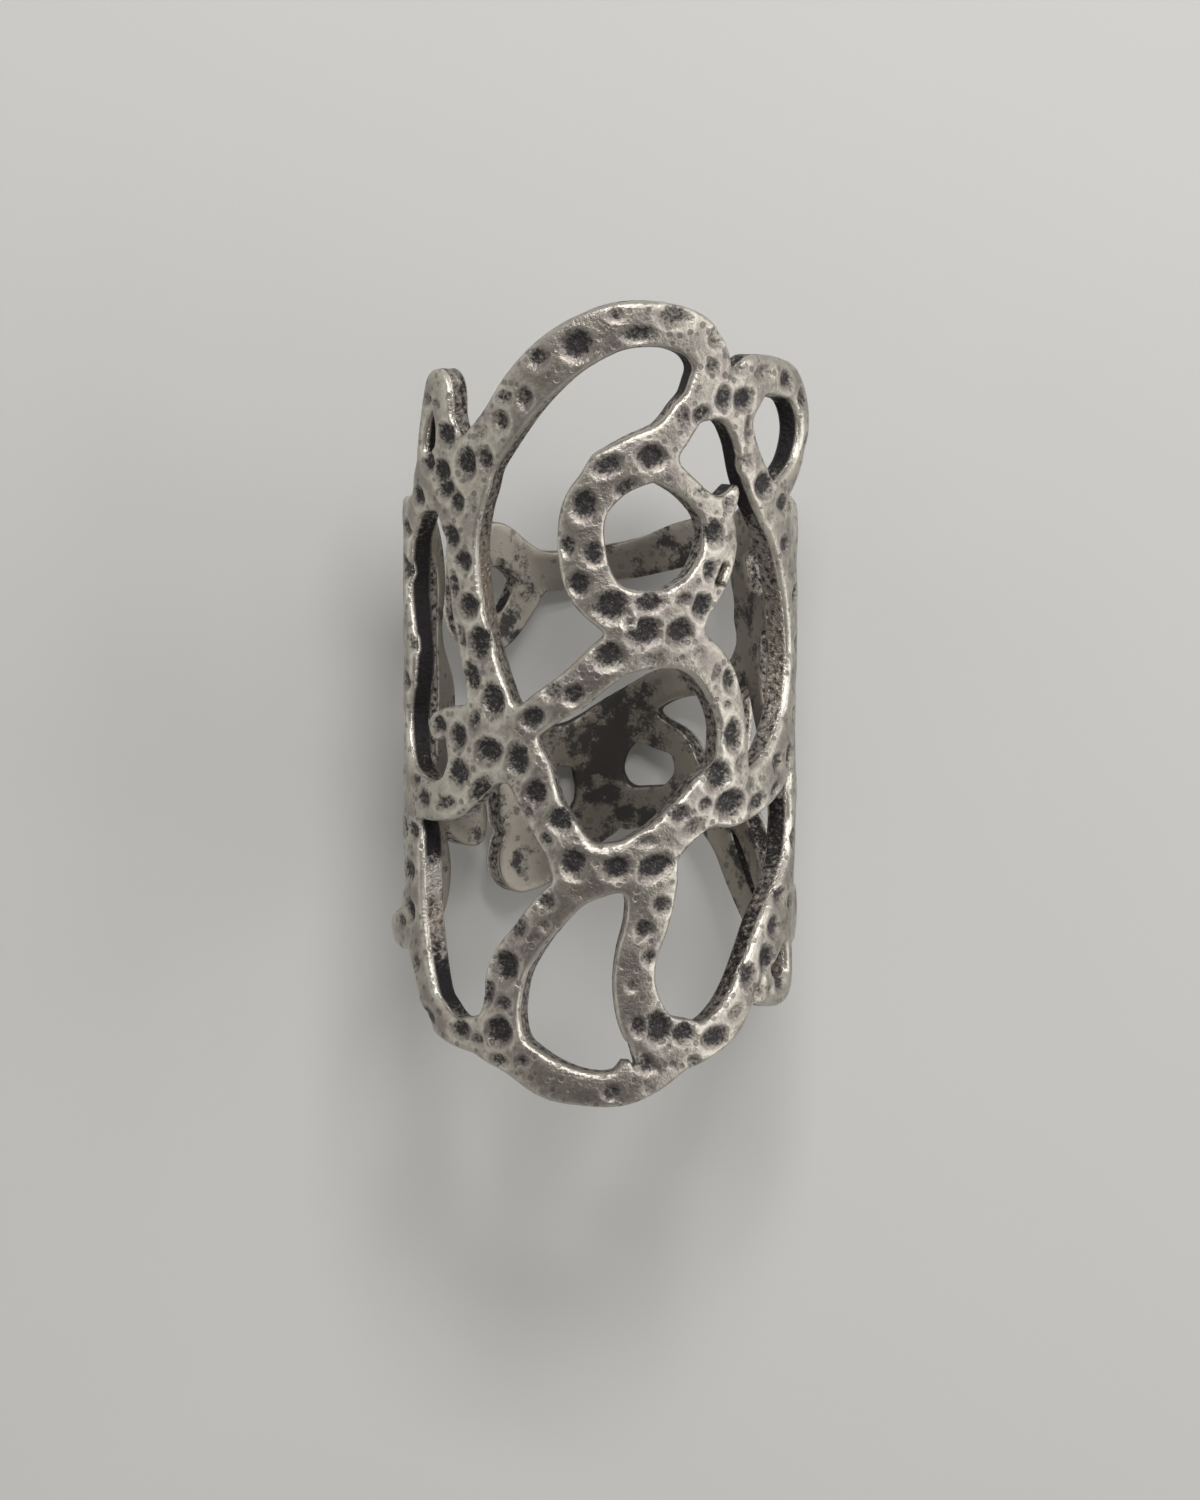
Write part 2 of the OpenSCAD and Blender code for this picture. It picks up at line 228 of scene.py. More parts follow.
# Height of the camera's sensor, which the picture's height fills, and the nearest that it sees, in metres
SENSOR = 36
NEAREST = 0.01
# Angle by which the camera looks past the ring's middle, towards its bottom end
CAMERA_DIP = 0.62

# Columns of a strand's row: degrees from the middle of the front, millimetres above the middle, and
# millimetres across. A strand runs smoothly through its rows, and is a ring if it ends on its first row.
STRANDS = {
    # Broad top edge, from the left hub up and over to the right corner
    "crown": [
        (-44, 11.6, 3), (-37.5, 12.8, 2.6), (-30.5, 14.2, 2.4), (-22.5, 16, 2.6), (-13, 17.6, 2.7),
        (-3, 18.7, 2.6), (7, 19.3, 2.4), (19, 19.3, 2.3), (29, 18.7, 2.3), (34.5, 17.4, 2.3),
        (35, 15.9, 2.4),
    ],
    # Strand that closes the opening under the crown
    "shoulder": [(35, 15.7, 2.2), (27, 14.9, 1.8), (20, 13.5, 2), (11, 12.7, 2.2), (2, 11.9, 2.2)],
    # Ring round the large round hole
    "disc": [
        (15, 12.4, 2.2), (4, 11.7, 2.3), (-4, 10.2, 2.4), (-5.5, 8.2, 2.5), (-3, 6.2, 2.6), (4, 4.9, 2.4),
        (15, 4.5, 2.4), (26.5, 5, 2.4), (35.1, 6.7, 2.3), (37.8, 8.5, 2.1), (34.6, 9.7, 1.5),
        (28.6, 10.7, 1.2), (22, 11.6, 1.4), (15, 12.4, 2.2),
    ],
    # Pointed tip on the right of that ring
    "tip": [(37, 9.6, 1.5), (41, 10.2, 1), (43.5, 10.8, 0.5)],
    # Short bridge from the crown's corner to the right loop
    "bridge": [(34, 16, 2.6), (40, 15.7, 2.4), (46, 15.9, 2.4), (50, 16.5, 2.2)],
    # Loop that stands out at the upper right
    "right_loop": [
        (47, 15.4, 2.2), (54, 16.5, 2.1), (64, 16.4, 2), (74, 15.8, 1.9), (79, 13.8, 1.6),
        (76, 11.8, 1.4), (67, 10.5, 1.6),
    ],
    # Long strand down the right side, from the bridge to the chin
    "post": [
        (42, 15.6, 2.4), (46.5, 13.6, 1.5), (51, 11.7, 1.8), (58, 10.1, 2.2), (66, 8.8, 2.6),
        (74, 7, 3.2), (80, 4.4, 3), (82, 1.4, 2.8), (78, -1.2, 2.8), (70, -3.1, 3), (60, -4.3, 2.6),
        (50, -5, 2.5), (42, -5, 3),
    ],
    # Thin loop above the left hub
    "left_lobe": [
        (-49.5, 12.4, 2.4), (-52.3, 14.2, 1.5), (-55, 15.8, 2.1), (-58.8, 15.5, 1.5), (-62.8, 14.4, 0.8),
        (-65.2, 12.6, 0.8), (-64, 11.1, 1.3),
    ],
    # Broad place where the crown, the lobe and the left post meet
    "left_hub": [(-65, 11, 1.9), (-58, 11.1, 3), (-48, 11.3, 3.6), (-42, 11.4, 3)],
    # Strand down the left of the front
    "left_post": [
        (-46, 10.4, 3.6), (-45, 8.2, 2.4), (-43.5, 5.8, 2.2), (-40.8, 3.6, 2.2), (-37, 1.4, 2.4),
        (-33.5, -0.8, 3), (-33, -2, 3.2),
    ],
    # Strand down the left side, outside the tall left opening
    "edge": [
        (-62, 10.4, 1.6), (-72, 9.5, 1.4), (-81, 7.8, 1.8), (-83.5, 5, 1.5), (-80.5, 1.8, 2.8),
        (-84.5, -1.2, 1.4), (-82, -3.4, 1.6), (-75, -5.2, 2.2),
    ],
    # Strand from the middle left to the left side, below the tall opening
    "belly": [
        (-34, -2.6, 3), (-42, -3.7, 2.9), (-48.5, -5, 2.4), (-57, -5.5, 2.1), (-66, -5.5, 2.2),
        (-76, -5.3, 2.4),
    ],
    # Broad place where five strands meet, left of the middle
    "hub": [(-44, -2.3, 2.6), (-37, -2, 3), (-29.5, -2, 3.6)],
    # Short curl that ends free in the tall left opening
    "curl": [(-42, -1.3, 2), (-49, -1.1, 1.3), (-55.5, -1.5, 1.4), (-56, -1.7, 1.2)],
    # Strand that rises across the middle from the hub to the ring round the hole
    "sash": [
        (-33, -1.6, 3), (-24, -1.2, 1.9), (-16, -0.2, 1.9), (-8, 0.7, 2.1), (0, 1.9, 2.2), (8, 2.9, 2.4),
        (16, 3.5, 3),
    ],
    # Broad place under the ring round the hole
    "neck": [(6, 4.6, 2.2), (14, 3.9, 3.2), (22.5, 3.8, 3.2), (25.5, 4.9, 2.4)],
    # Strand from the neck down to the chin, right of the four-sided opening
    "brow": [
        (10, 2.8, 2), (20, 2.9, 2), (30, 2.4, 2.2), (37.5, 1, 2.2), (42, -1, 1.9), (42.5, -3.2, 2.3),
        (41, -5, 2.8),
    ],
    # Strand from the hub down to the keel, left of the four-sided opening
    "slope": [(-30, -2.6, 2.8), (-22.5, -3.3, 2.7), (-17, -5.4, 2.2), (-11, -7, 2.3), (-6, -8.2, 2.2)],
    # Low middle of the front
    "keel": [(-8, -8.2, 2.4), (-2, -8.5, 2.6), (6, -8.4, 2.6), (14, -8.3, 3)],
    # Strand from the keel up to the post
    "chin": [(14, -8, 2.8), (20, -7, 2.3), (28, -5.8, 2.3), (35.5, -5, 2.9), (43, -5, 2.8)],
    # Legs that carry the hem
    "left_leg": [
        (-3, -8.9, 2.2), (-9, -9.7, 2), (-16, -10.9, 2), (-22.5, -12.3, 2), (-28, -13.8, 2.2),
        (-30.5, -15.8, 2.3), (-30.5, -17.4, 2.6),
    ],
    "right_leg": [
        (15.5, -9.2, 2.8), (14, -11.2, 2.4), (10.8, -13, 2.2), (10.2, -14.6, 2.3), (12.5, -16.2, 2.6),
        (17, -17.5, 2.8),
    ],
    # Bottom edge, from the left leg along the front and up the right side to the post
    "hem": [
        (-33, -17.6, 2.2), (-25, -18.4, 2.1), (-15, -19.4, 2.1), (-4, -19.85, 1.8), (6, -19.8, 1.9),
        (14, -18.9, 2.6), (22, -17.8, 2.9), (32, -17.6, 2), (41, -16.7, 2), (47.5, -15.3, 1.8),
        (54, -13.9, 2.2), (62, -12.4, 2.9), (70, -11.2, 3), (78, -9, 2), (82, -6.4, 1.6), (81, -3, 1.6),
    ],
    # Bottom edge on the left, from the left leg up the side
    "left_hem": [
        (-31, -17.6, 2.2), (-39, -17.4, 2), (-48, -17.4, 1.5), (-56, -16.8, 1.8), (-62, -15.8, 1.8),
        (-69, -13.3, 2.5), (-73, -11, 3), (-75, -8, 3.2),
    ],
    # Thin loop at the lower right
    "right_tag": [
        (52, -15, 1.8), (58, -15.4, 1.7), (65, -15.7, 1.5), (72, -15.6, 1.3), (76.5, -15, 1.1),
        (76, -13.4, 1.1), (73, -12.2, 1.4),
    ],
    # Left half of the shank, upper and lower strands, and the lobe below them
    "left_back": [
        (-74, 9.2, 1.6), (-90, 9, 1.8), (-104, 7.8, 1.8), (-111, 5.4, 1.3), (-109.5, 2.2, 1),
        (-114.5, -1, 2.4), (-112, -3.4, 2.2), (-114, -6, 2.6),
    ],
    "left_band": [
        (-70, -5.4, 2.2), (-84, -5.2, 2.4), (-98, -5.4, 2.4), (-114, -6.4, 3), (-122, -6.9, 3.3),
        (-128.5, -7.6, 3.2), (-132.5, -8.5, 1.8),
    ],
    "side_lobe": [
        (-76, -8, 2.4), (-90, -7.6, 2), (-105, -8, 2.2), (-113.5, -10.2, 1.8), (-110, -12.3, 1.8),
        (-98, -13, 1.6), (-84, -12.9, 2), (-74, -12.3, 2.4),
    ],
    # Loop that starts the right half of the shank
    "right_node": [
        (80, 7.2, 2.4), (92, 8.4, 2), (105, 9, 1.8), (120, 8.4, 1.9), (126, 6.4, 1.7), (119, 3.4, 2.2),
        (108, 3.6, 1.8), (96, 5, 1.6), (82, 5.2, 2.4),
    ],
    # Upper strand across the back and the open ring that ends it
    "strip": [
        (122, 7.6, 2.2), (136, 7.4, 2.2), (152, 6.7, 2.4), (165, 6, 2.1), (180, 5.5, 2), (194, 5.2, 2.1),
        (204, 5.4, 2),
    ],
    "eye": [
        (204.5, 4.9, 2.2), (211, 6.3, 2.1), (219, 6.8, 2.4), (228, 6, 2.2), (231.5, 4.3, 1.8),
        (228, 2.6, 1.9), (219, 2, 2.1), (211, 2.75, 1.8), (204.5, 4.9, 2.2),
    ],
    # Lower half of the back: braces from the right side, and the pierced plate that ends it
    "brace_up": [
        (120, 3, 2.8), (117, 0.8, 2), (111, -1.8, 1.7), (103, -3.8, 1.8), (92, -5.2, 2.2),
        (82, -5.6, 2.2),
    ],
    "plate_top": [
        (118, 1.6, 2.6), (128, -0.2, 1.8), (140, -0.4, 1.7), (157, -0.9, 1.9), (172, -2.4, 2.2),
        (188, -4.1, 2.3), (200, -4.4, 2), (210, -5.6, 2.1), (212.3, -7.4, 1.8), (209, -9, 2.4),
    ],
    "plate": [
        (148, -6.2, 2), (151.5, -4.3, 1.5), (159.5, -3.6, 1.7), (169, -3, 2.2), (177.5, -4, 2.8),
        (180.5, -5.8, 3), (176, -7.6, 2.4), (163.5, -7.6, 2.2), (153, -7.2, 2), (148, -6.2, 2),
    ],
    "plate_side": [
        (131, -0.4, 1.7), (131, -3, 1.6), (134.5, -5.4, 1.8), (143, -6.4, 2.2), (150, -6.8, 2.4),
    ],
    "plate_end": [(178, -7.4, 3.4), (188, -9.2, 2.4), (200, -10.2, 3.2), (207.5, -10.4, 3.6)],
    "brace_low": [
        (145, -6.8, 2.4), (134, -9, 1.9), (126, -11.2, 1.8), (115, -13, 1.9), (100, -13, 2.2),
        (86, -11.8, 2.8),
    ],
    "brace_mid": [(134, -6.6, 1.6), (122, -8.4, 1.5), (112, -10.6, 1.5), (102, -12.4, 2)],
}

# Columns of a dimple's row: degrees from the middle of the front, millimetres above the middle, sizes
# across and up in millimetres, turn in degrees, and depth in millimetres. Those of the last group hold
# less soot, and polish lightens their insides as a painted glint.
DIMPLES = {
    "crown": [
        (-41.5, 12.1, 1.2, 1.5, 0, 0.3), (-36.5, 13.8, 0.9, 0.8, 0, 0.1),
        (-34.5, 12.4, 0.9, 1.2, 10, 0.2), (-29, 14.4, 0.8, 1.1, 0, 0.2), (-28, 15.6, 0.9, 0.7, 0, 0.2),
        (-21.5, 15.6, 0.8, 1.1, 0, 0.2), (-17.5, 17.6, 1.1, 0.9, 20, 0.2), (-6.5, 18.3, 1.5, 1.4, 0, 0.3),
        (4.5, 19.85, 0.7, 0.6, 0, 0.15), (11, 18.85, 1.6, 0.8, 0, 0.22), (33.5, 17.1, 0.7, 0.8, 0, 0.18),
        (37.5, 15.5, 0.9, 1.2, 0, 0.25),
    ],
    "disc": [
        (30, 14.7, 0.9, 0.9, 0, 0.2), (24, 14.6, 0.6, 1.2, 0, 0.2), (14.5, 12.6, 1.4, 1.2, 0, 0.28),
        (2, 12.2, 1.4, 0.9, 25, 0.22), (7.5, 11.1, 1.3, 0.8, 25, 0.22), (-4.5, 10.2, 1.2, 1.4, 0, 0.28),
        (-9, 8.1, 0.8, 0.9, 0, 0.2), (-2, 7.7, 0.9, 1.1, 0, 0.22), (-6, 6.2, 1.1, 1.2, 0, 0.25),
        (34.5, 8.6, 1, 1.3, 0, 0.24), (33, 6.7, 0.8, 1, 0, 0.2), (41.5, 8.4, 0.7, 0.6, 0, 0.08),
        (31, 10.8, 1.1, 0.5, 0, 0.18),
    ],
    "neck": [
        (3, 5, 1.6, 1.4, 0, 0.28), (14, 5.2, 1.5, 0.95, 0, 0.25), (24.5, 5.3, 0.9, 0.7, 0, 0.2),
        (30.5, 4.9, 1.1, 1.2, 0, 0.26), (12, 3.7, 1.8, 1.4, 0, 0.28), (23, 3.6, 1.4, 1.3, 0, 0.28),
        (2.5, 2.5, 1.5, 1.2, 10, 0.26), (15, 2.2, 1.2, 0.6, 0, 0.1), (29.5, 2.5, 0.7, 0.8, 0, 0.08),
    ],
    "sash": [(-7.5, 0.5, 1.1, 1, 20, 0.22), (-19.5, -0.8, 1.3, 1, 10, 0.26)],
    "brow": [
        (35.5, 1.4, 0.6, 0.9, 0, 0.1), (40, 1, 0.8, 1.2, 10, 0.22), (39.5, -0.25, 0.5, 0.5, 0, 0.15),
        (41.5, -1.9, 1, 1.6, 0, 0.26), (36, -3.9, 1.3, 1.5, -20, 0.3), (44.5, -3.3, 0.7, 0.9, 0, 0.1),
        (40.5, -5.4, 1.7, 1.4, 0, 0.32), (31.5, -5.3, 0.75, 0.65, 0, 0.22),
    ],
    "chin": [
        (23, -5.7, 1.1, 0.9, 0, 0.2), (13, -7, 1.1, 0.6, 0, 0.12), (4.5, -8.4, 1.45, 1.15, 0, 0.3),
        (15.5, -8.4, 1.8, 1.15, 25, 0.3), (-7.5, -8.1, 1.25, 1.5, 0, 0.3), (-1, -8.2, 0.25, 0.2, 0, 0.12),
        (-6, -9.8, 0.8, 0.5, 0, 0.06),
    ],
    "slope": [
        (-11, -6, 1.3, 1.2, 0, 0.26), (-18.5, -4.6, 1.2, 1.25, 0, 0.28), (-15.3, -7, 0.7, 0.7, 0, 0.18),
        (-21.5, -5.6, 0.8, 1, 30, 0.14), (-24, -3, 1.2, 1.5, 0, 0.24), (-26.5, -4.2, 0.8, 1, 0, 0.08),
    ],
    "hub": [
        (-33.5, -2.6, 1.5, 1.2, 0, 0.3), (-32, 0, 1.2, 1.6, 10, 0.28), (-38.5, -1.1, 0.65, 1.2, -15, 0.2),
        (-45, -2, 1.05, 1.25, 0, 0.24), (-45, -3.9, 1.5, 1.3, 35, 0.22),
        (-36.8, -4.6, 1.7, 0.9, 45, 0.24), (-54, -1.5, 1.25, 0.9, 0, 0.22),
    ],
    "left_post": [
        (-47, 5.8, 0.85, 1.4, 0, 0.2), (-40.5, 4.8, 1.15, 1.15, 0, 0.28),
        (-43.8, 3.2, 0.65, 1.4, 15, 0.2), (-36.8, 2.9, 1.25, 1.6, 0, 0.3),
        (-39.7, 1.1, 1.1, 1.5, 15, 0.22), (-42.5, 7.1, 1, 1.1, 0, 0.22), (-48, 8.3, 1.2, 1.2, 0, 0.26),
        (-45, 10.1, 0.9, 1.1, 0, 0.22), (-39, 10, 0.8, 1, 0, 0.08),
    ],
    "left_hub": [
        (-54.5, 15.1, 0.5, 0.5, 0, 0.12), (-50, 13.5, 1.2, 1.1, 0, 0.24), (-58.5, 12, 1.1, 1, 0, 0.24),
        (-52, 11.6, 1.3, 1.2, 0, 0.3), (-50, 10.8, 1.2, 1.1, 0, 0.3), (-65, 10.2, 1.2, 1, 0, 0.24),
        (-55, 9.8, 0.8, 0.7, 0, 0.08), (-60, 15.3, 0.9, 0.6, 0, 0.16),
    ],
    "belly": [
        (-50.8, -5.5, 1.5, 0.7, 10, 0.2), (-63, -5.5, 1.4, 1, 0, 0.2), (-68.5, -4.7, 1.2, 0.7, 0, 0.22),
        (-71, -7.4, 1.3, 0.9, 0, 0.26), (-80, -7.4, 1.3, 1, 0, 0.26), (-73, 2.4, 1, 1, 0, 0.16),
        (-79, 0.4, 1.2, 0.9, 0, 0.24), (-81, 6.2, 1.1, 1.2, 0, 0.24), (-77, 8.4, 1.2, 0.9, 0, 0.22),
    ],
    "right_loop": [
        (44, 17, 1.2, 0.6, 0, 0.2), (45.5, 15.4, 1.3, 1.1, 0, 0.3), (47.5, 13.8, 0.6, 1.4, 0, 0.2),
        (66, 16.2, 1.2, 0.9, 0, 0.22), (75, 15.2, 1, 1, 0, 0.2), (79, 12.8, 0.7, 1.1, 0, 0.18),
    ],
    "post": [
        (55, 10.9, 1.5, 1.2, 0, 0.28), (65.5, 9.8, 1.3, 0.9, -15, 0.22), (58, 9.2, 0.8, 0.7, 0, 0.08),
        (68.5, 7.7, 1.2, 0.9, -20, 0.2), (73, 6.3, 0.9, 0.8, 0, 0.1), (79, 4.9, 1.2, 1, 0, 0.22),
        (82, 2.2, 1.2, 1.1, 0, 0.22), (71, -1.5, 0.8, 0.8, 0, 0.1), (63, -3.6, 1.05, 0.95, 0, 0.2),
        (72.5, -3.5, 1.1, 1.2, 0, 0.26), (49.5, -4.6, 0.85, 0.7, 0, 0.1), (52, -5.5, 1.3, 0.9, 25, 0.2),
        (62.5, -4.9, 1.3, 0.7, 20, 0.18), (79, -1.4, 1, 0.9, 0, 0.18),
    ],
    "left_leg": [
        (-15.5, -10.2, 0.9, 0.8, 0, 0.22), (-16, -11.4, 0.55, 0.6, 0, 0.18),
        (-24, -11.7, 0.9, 1.2, -35, 0.16), (-27.8, -13.7, 1.3, 1.55, 0, 0.32),
        (-34.5, -15.2, 0.85, 1.4, -25, 0.22), (-28.5, -15.6, 0.85, 0.7, 0, 0.2),
        (-30, -17.1, 1.4, 1.35, 0, 0.32), (-30.5, -18.6, 1.05, 0.7, -10, 0.18),
        (-22.5, -18.5, 0.7, 0.65, 0, 0.18), (-19.3, -12.1, 0.5, 0.5, 0, 0.1),
    ],
    "right_leg": [
        (18, -10.4, 0.95, 0.85, 0, 0.26), (12.5, -11.6, 0.9, 0.9, 0, 0.26),
        (14.3, -13.1, 0.75, 0.85, 0, 0.34), (9, -14.5, 0.55, 0.6, 0, 0.18), (11, -16.6, 0.85, 1, 0, 0.2),
        (17, -16.8, 1.3, 1.7, 0, 0.36), (24.5, -17.1, 1.2, 1, 0, 0.28), (21.5, -18.7, 0.4, 0.4, 0, 0.12),
        (27.8, -18.6, 0.6, 0.6, 0, 0.16), (13, -18.6, 0.8, 0.9, 0, 0.2),
    ],
    "hem": [
        (35, -17.5, 1.55, 1.1, 10, 0.22), (43, -16.3, 1.1, 0.8, 15, 0.12), (48, -14.5, 1, 1.15, 0, 0.2),
        (57, -13.8, 1.2, 1.3, 0, 0.26), (60.5, -12.2, 1, 1.05, 0, 0.2), (65, -10.7, 1.3, 0.8, 10, 0.2),
        (68, -12.3, 0.8, 0.7, 0, 0.1), (66, -15.2, 1.3, 1, 0, 0.22), (53, -15.4, 0.9, 0.8, 0, 0.12),
        (59, -15.4, 0.5, 0.5, 0, 0.18), (3.5, -20, 0.95, 0.85, 0, 0.18), (-4, -20.4, 0.5, 0.4, 0, 0.12),
        (14, -19.9, 0.6, 0.5, 0, 0.08), (-16, -20.1, 0.5, 0.4, 0, 0.08), (79, -8, 1, 1.1, 0, 0.2),
        (74, -11.2, 1, 0.9, 0, 0.16),
    ],
    "left_hem": [
        (-60.5, -16.9, 1.4, 0.9, -20, 0.2), (-44.5, -17.2, 1.2, 0.9, 0, 0.26),
        (-37.5, -17.6, 0.7, 0.6, 0, 0.16), (-68.5, -14.3, 1, 0.85, 0, 0.18),
        (-72.5, -11.6, 1.2, 1.1, 0, 0.26), (-74.5, -9.5, 1.7, 1, 0, 0.3), (-81, -10.2, 1.1, 0.9, 0, 0.26),
        (-80, -12.3, 1.4, 0.7, 0, 0.24),
    ],
    "bright with painted glint": [
        (21.5, 19.7, 1.6, 1, 0, 0.25), (35, 18.6, 0.9, 0.9, 0, 0.2), (55, 16.7, 1.5, 0.7, 0, 0.2),
        (40, 10.1, 0.8, 0.8, 0, 0.2), (-13.5, 0.7, 1.1, 0.9, 20, 0.22), (46.5, 12.1, 0.8, 1, 0, 0.2),
        (27.5, -6.5, 1.3, 0.8, 25, 0.18),
    ],
}

# Cuts in the flat pattern beside the openings between strands, each a round-ended slot: both its ends in
# degrees and height, and its width
SLOTS = {
    "slit under the bridge": (36.3, 6.1, 38.6, 6.9, 0.32),
    "crack where the right leg meets the hem": (8.2, -17.6, 10, -18.6, 0.22),
    "bite in the end of the plate": (216.2, -8.9, 219, -8.9, 0.5),
    "pinhole under the plate": (172.2, -9.1, 172.8, -9.1, 0.5),
}

# Raised lips and creases: both ends in degrees and height, width, and height above the face
LIPS = {
    "lip over the sash": (6.2, 3.85, 9.6, 4, 0.4, 0.2),
    "turned end of that lip": (9.6, 4, 10.1, 4.45, 0.35, 0.2),
    "edge of the left leg": (-33, -12.6, -36.5, -15.5, 0.5, 0.08),
    "fold in the hem": (12.5, -18.1, 16.5, -18.9, 0.35, -0.12),
    "crease between the hem and the tag": (58, -13.9, 52, -15.6, 0.4, -0.16),
    "fold in the right leg": (9, -12.3, 15, -14.2, 0.9, 0.03),
    "fold above the keel": (-12, -7.2, 2, -7.7, 0.4, 0.08),
}


def eased(values):
    """Smooth step from 0 at 0 to 1 at 1."""
    share = np.clip(values, 0, 1)
    return share * share * (3 - 2 * share)


def bell(values):
    """Bell-shaped curve with its top, 1, at 0."""
    return np.exp(-(values**2))


def blend_lower(first, second, width):
    """The smaller of two distances, with the corner between them filled."""
    share = np.clip(0.5 + (first - second) / width / 2, 0, 1)
    return first * (1 - share) + second * share - width * share * (1 - share)


def flat_ends(start_angle, start_height, end_angle, end_height):
    """Both ends of a line on the flat pattern, each as across and up."""
    return np.array([(start_angle * DEGREE, start_height), (end_angle * DEGREE, end_height)])


def beside_line(across, up, start, end):
    """How far along a straight line each point lies, from 0 to 1, and its distance from the line."""
    run = end[:2] - start[:2]
    offset_across = across - start[0]
    offset_up = up - start[1]
    share = np.clip((offset_across * run[0] + offset_up * run[1]) / (run @ run), 0, 1)
    return share, np.hypot(offset_across - share * run[0], offset_up - share * run[1])


def course(rows):
    """Points along a strand: across, up and half width. A strand that ends on its first row is a ring."""
    knots = np.array([(angle * DEGREE, height, width / 2) for angle, height, width in rows])
    is_ring = rows[0] == rows[-1]
    before = knots[-2] if is_ring else knots[0]
    after = knots[1] if is_ring else knots[-1]
    line = np.vstack([before, knots, after])
    shares = np.arange(LINKS_PER_ROW)[:, None] / LINKS_PER_ROW
    points = []
    for a, b, c, d in zip(line, line[1:], line[2:], line[3:]):
        curve = 2 * a - 5 * b + 4 * c - d
        twist = 3 * b - a - 3 * c + d
        points.append(b + ((c - a) * shares + curve * shares**2 + twist * shares**3) / 2)
    return np.vstack(points + [knots[-1:]])


class FlatPattern:
    """The band laid flat: distance to its cut edge at every point of a fine grid, negative in the metal."""

    def __init__(self, fillet):
        self.across = np.arange(FIRST_ANGLE * DEGREE, LAST_ANGLE * DEGREE, CELL)
        self.up = np.arange(LOWEST, HIGHEST, CELL)
        self.gap = np.full((len(self.across), len(self.up)), REACH)
        for rows in STRANDS.values():
            self.add_strand(course(rows), fillet)
        for *ends, width in SLOTS.values():
            self.cut_slot(flat_ends(*ends), width)
        self.measure_from_edge()
        self.slope = np.stack(np.gradient(self.gap, CELL), axis=-1)

    def window(self, points, margin):
        """Part of the grid round some points, and the coordinates across and up there."""
        low = points.min(axis=0) - margin
        high = points.max(axis=0) + margin
        first, last = np.searchsorted(self.across, (low[0], high[0]))
        bottom, top = np.searchsorted(self.up, (low[1], high[1]))
        part = (slice(first, last), slice(bottom, top))
        return part, self.across[first:last, None], self.up[None, bottom:top]

    def add_strand(self, points, fillet):
        """Joins a strand to the metal, with a fillet where it meets another one."""
        nearest = np.full_like(self.gap, REACH)
        for start, end in zip(points, points[1:]):
            part, across, up = self.window(np.array([start, end]), REACH)
            share, distance = beside_line(across, up, start, end)
            half_width = start[2] + share * (end[2] - start[2])
            nearest[part] = np.minimum(nearest[part], distance - half_width)
        part, _, _ = self.window(points, REACH)
        self.gap[part] = blend_lower(self.gap[part], nearest[part], fillet)

    def cut_slot(self, ends, width):
        """Cuts a round-ended slot into the metal."""
        part, across, up = self.window(ends, SLOT_REACH)
        _, distance = beside_line(across, up, *ends)
        self.gap[part] = -blend_lower(-self.gap[part], distance - width / 2, SLOT_FILLET)

    def outlines(self, level):
        """Closed lines where the distance to the cut edge has one level, with the metal on their left."""
        corner = (self.across[0], self.up[0])
        return [loop * CELL + corner for loop in contour_loops(self.gap, level)]

    def measure_from_edge(self):
        """Puts true distances from the cut edge in place of the blended ones, and fills pinholes."""
        is_metal = self.gap < 0
        distance = np.full_like(self.gap, EDGE_REACH)
        for loop in self.outlines(0):
            if enclosed_area(loop) < SMALLEST_OPENING:
                part, _, _ = self.window(loop, CELL)
                is_metal[part] = True
                continue
            points = even_steps(loop, 2 * CELL)
            for ends in zip(points, np.roll(points, -1, axis=0)):
                part, across, up = self.window(np.array(ends), EDGE_REACH)
                distance[part] = np.minimum(distance[part], beside_line(across, up, *ends)[1])
        self.gap = np.where(is_metal, -distance, distance)

    def sample(self, values, points):
        """Values of a grid at points given as across and up, by linear interpolation."""
        columns = (points[:, 0] - self.across[0]) / CELL
        rows = (points[:, 1] - self.up[0]) / CELL
        i = np.clip(columns.astype(int), 0, len(self.across) - 2)
        j = np.clip(rows.astype(int), 0, len(self.up) - 2)
        shape = (-1,) + (1,) * (values.ndim - 2)
        s = (columns - i).reshape(shape)
        t = (rows - j).reshape(shape)
        lower = values[i, j] * (1 - s) + values[i + 1, j] * s
        upper = values[i, j + 1] * (1 - s) + values[i + 1, j + 1] * s
        return lower * (1 - t) + upper * t

    def follow_slope(self, points, level):
        """Moves points straight across the cut edge to where the distance has the level."""
        for _ in range(LEVEL_STEPS):
            gap = self.sample(self.gap, points)
            slope = self.sample(self.slope, points)
            steepness = np.maximum(np.sum(slope * slope, axis=1), LEAST_STEEPNESS)
            points = points + ((level - gap) / steepness)[:, None] * slope
        return points


def enclosed_area(loop):
    """Area inside a closed line, whichever way it runs."""
    following = np.roll(loop, -1, axis=0)
    return abs(np.sum(loop[:, 0] * following[:, 1] - loop[:, 1] * following[:, 0])) / 2


